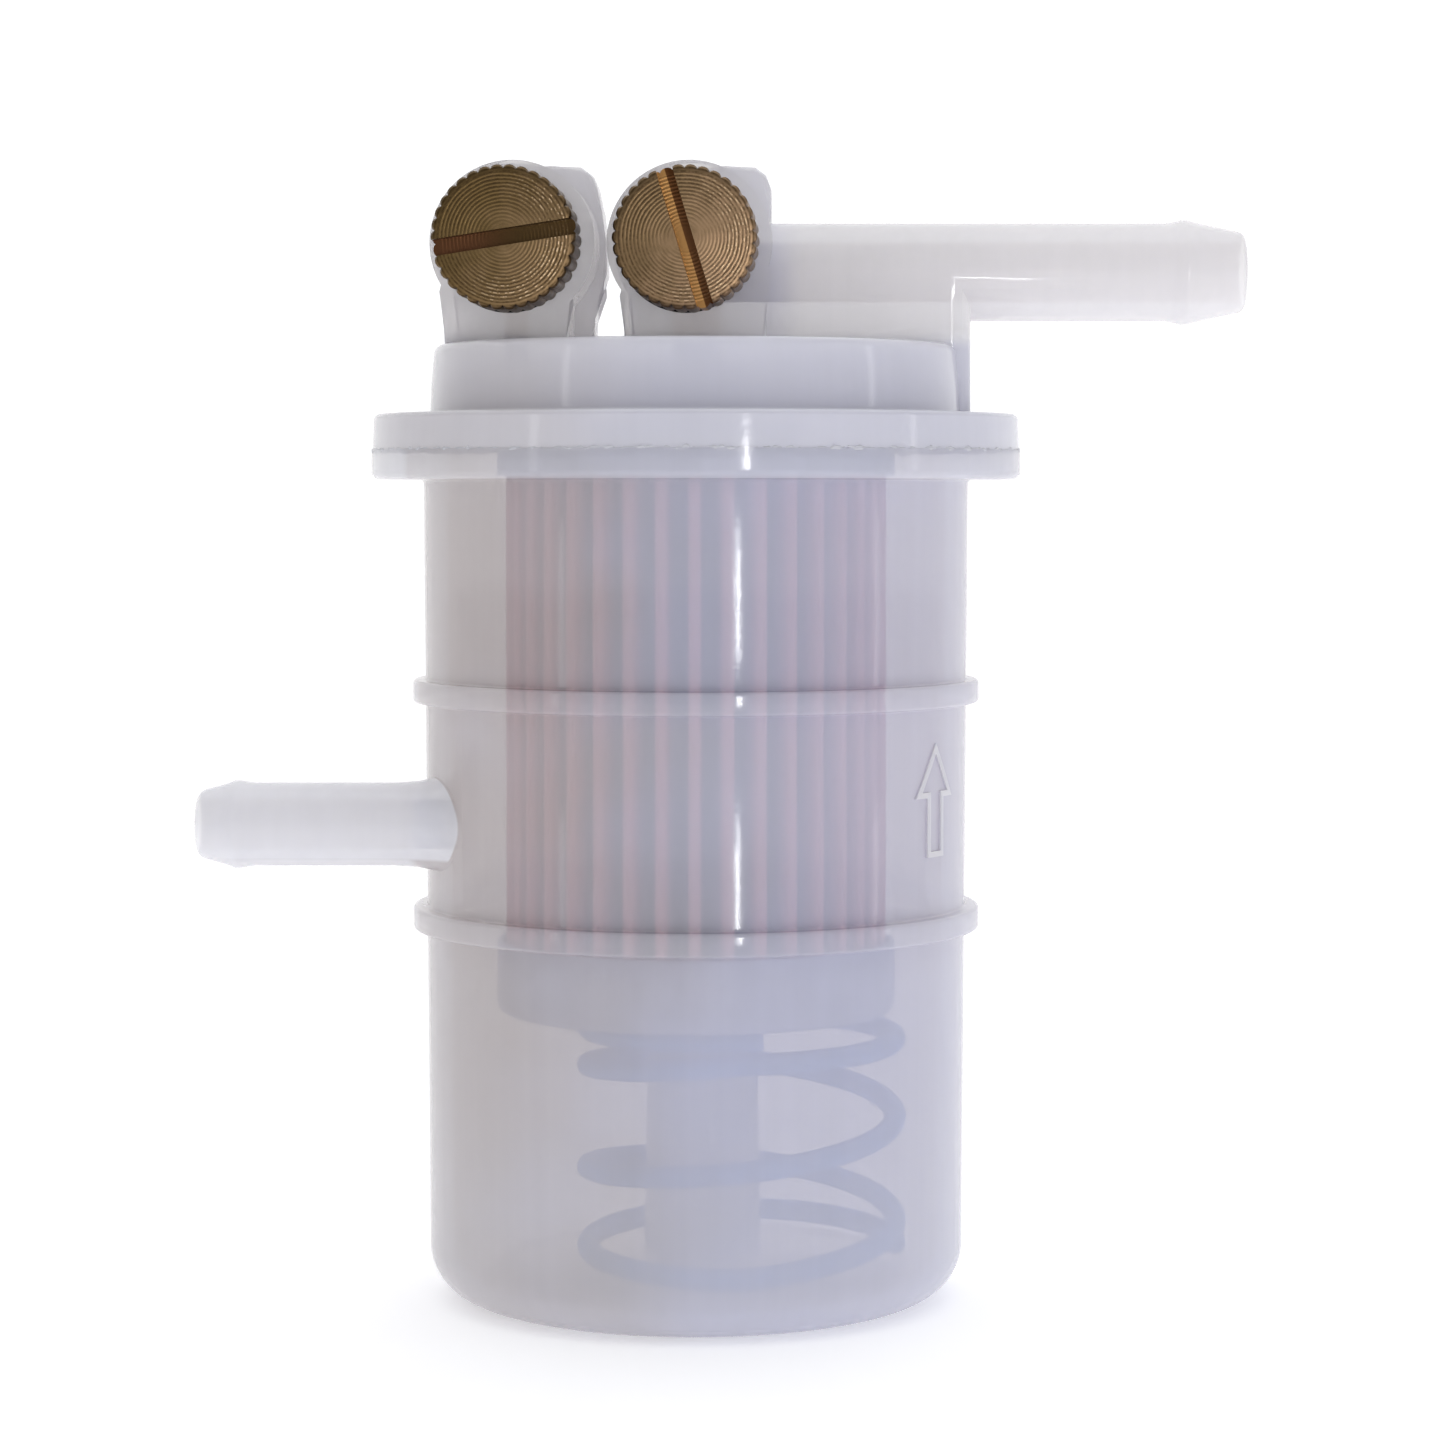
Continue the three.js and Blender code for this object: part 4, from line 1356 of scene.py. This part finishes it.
# The painted lit and shaded tones of each slot's floor.
SLOT_TONES = {
    "left": (colour(98, 64, 44), colour(76, 58, 34)),
    "right": (colour(192, 144, 88), colour(92, 56, 30)),
}
brasses = {
    side: turned_brass(side + "_brass", x, SLOT_ANGLES[side], BRASS_TONES[side], SLOT_TONES[side])
    for side, x in LUG_XS.items()
}
head_recipe.finish(knurl, brasses["left"])
saw_outline = [(-9, -SLOT_WIDTH / 2), (9, -SLOT_WIDTH / 2), (9, SLOT_WIDTH / 2), (-9, SLOT_WIDTH / 2)]
for side, x in LUG_XS.items():
    screw = head_recipe.grow(side + "_screw_head", knurl_tooth())
    shank = piece_from(threaded_shank(), "shank")
    saw = piece_from(
        placed(pulled(saw_outline, HEAD_FACE - SLOT_DEPTH, HEAD_FACE + 1), turn(SLOT_ANGLES[side], "Z")),
        "saw",
    )
    join_and_cut(screw, [shank], [saw], smooth_degrees=28)
    for move in (turn(90, "X"), turn(LUG_TURN, "Z"), shift(x * MM, 0, LUG_HEIGHT * MM)):
        screw.data.transform(move)
    screw.data.materials.clear()
    screw.data.materials.append(brasses[side])
    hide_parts(side + "_bleed_screw")
    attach(screw, side + "_screw")

# ------------------------------------------------------------------------------------------------
# Setting: a plain pale floor just under the bowl, soft white light from all round that is weakest
# in front, two narrow lamps beside the camera for the upright glint, and two tall soft strips.
# ------------------------------------------------------------------------------------------------
FLOOR_HALF = 3000.0
FLOOR_LEVEL = -0.1
floor_form = bmesh.new()
corners = [floor_form.verts.new((sx * FLOOR_HALF, sy * FLOOR_HALF, FLOOR_LEVEL))
           for sx, sy in ((-1, -1), (1, -1), (1, 1), (-1, 1))]
floor_form.faces.new(corners)
floor = piece_from(floor_form, "floor")
paper_white = Finish("floor_white")
tint = paper_white.cloud(400, detail=2)
floor.data.materials.append(paper_white.surface(
    {"Base Color": paper_white.blend(tint, colour(250, 250, 252), colour(253, 253, 254))},
    {"Roughness": 0.9, "Emission Color": (1.0, 1.0, 1.0, 1.0), "Emission Strength": 0.32},
))

SKY_FRONT = 0.3
SKY_BACK = 0.85
SKY_TOP = 0.6
world = bpy.data.worlds.new("studio")
bpy.context.scene.world = world
world.use_nodes = True
sky = Board(world.node_tree)
sky.tree.nodes.clear()
direction = sky.add("ShaderNodeSeparateXYZ", inputs={0: sky.add("ShaderNodeTexCoord", output="Generated")})
behind, above = direction.out("Y"), direction.out("Z")
strength = SKY_FRONT + SKY_BACK * behind.step(0.1, 0.95) + SKY_TOP * above.step(0.3, 1.0)
glow = sky.add("ShaderNodeBackground", inputs={"Color": (0.985, 0.99, 1.0, 1.0), "Strength": strength})
sky.add("ShaderNodeOutputWorld", inputs={"Surface": glow})


def lamp(name, place, target, width, height, power, tint=(1.0, 1.0, 1.0)):
    """A flat lamp that faces a point."""
    light = bpy.data.lights.new(name, "AREA")
    light.shape = "RECTANGLE"
    light.size = width * MM
    light.size_y = height * MM
    light.energy = power
    light.color = tint
    holder = bpy.data.objects.new(name, light)
    bpy.context.scene.collection.objects.link(holder)
    holder.location = Vector(place) * MM
    holder.rotation_euler = (Vector(target) - Vector(place)).to_track_quat("-Z", "Y").to_euler()
    return holder


def round_the_filter(azimuth, distance, height):
    """A place at an angle to the right of the front, at a distance from the body's axis."""
    angle = math.radians(azimuth)
    return (distance * math.sin(angle), -distance * math.cos(angle), height)


lamp("glint", round_the_filter(17, 420, 70), (0, 0, 70), 6, 92, 0.13)
lamp("glint_foot", round_the_filter(17, 420, 12), (0, 0, 12), 6, 24, 0.018)
lamp("left_strip", round_the_filter(-56, 500, 60), (0, 0, 55), 24, 420, 0.07)
lamp("right_strip", round_the_filter(80, 500, 60), (0, 0, 55), 24, 420, 0.07)
lamp("overhead", (0, -60, 700), (0, 0, 60), 500, 500, 0.3)

CAMERA_FOCUS = 96.3
CAMERA_PLACE = (2.44, -356.0, 74.0)
CAMERA_PITCH = 1.0
CAMERA_SHIFT = -0.115
camera = bpy.data.cameras.new("camera")
camera.lens = CAMERA_FOCUS
camera.sensor_width = 36.0
camera.shift_y = CAMERA_SHIFT
camera.clip_start = 0.01
camera.clip_end = 50.0
viewpoint = bpy.data.objects.new("camera", camera)
bpy.context.scene.collection.objects.link(viewpoint)
viewpoint.location = Vector(CAMERA_PLACE) * MM
viewpoint.rotation_euler = (math.radians(90 - CAMERA_PITCH), 0, 0)
bpy.context.scene.camera = viewpoint
bpy.context.scene.view_settings.view_transform = "Standard"
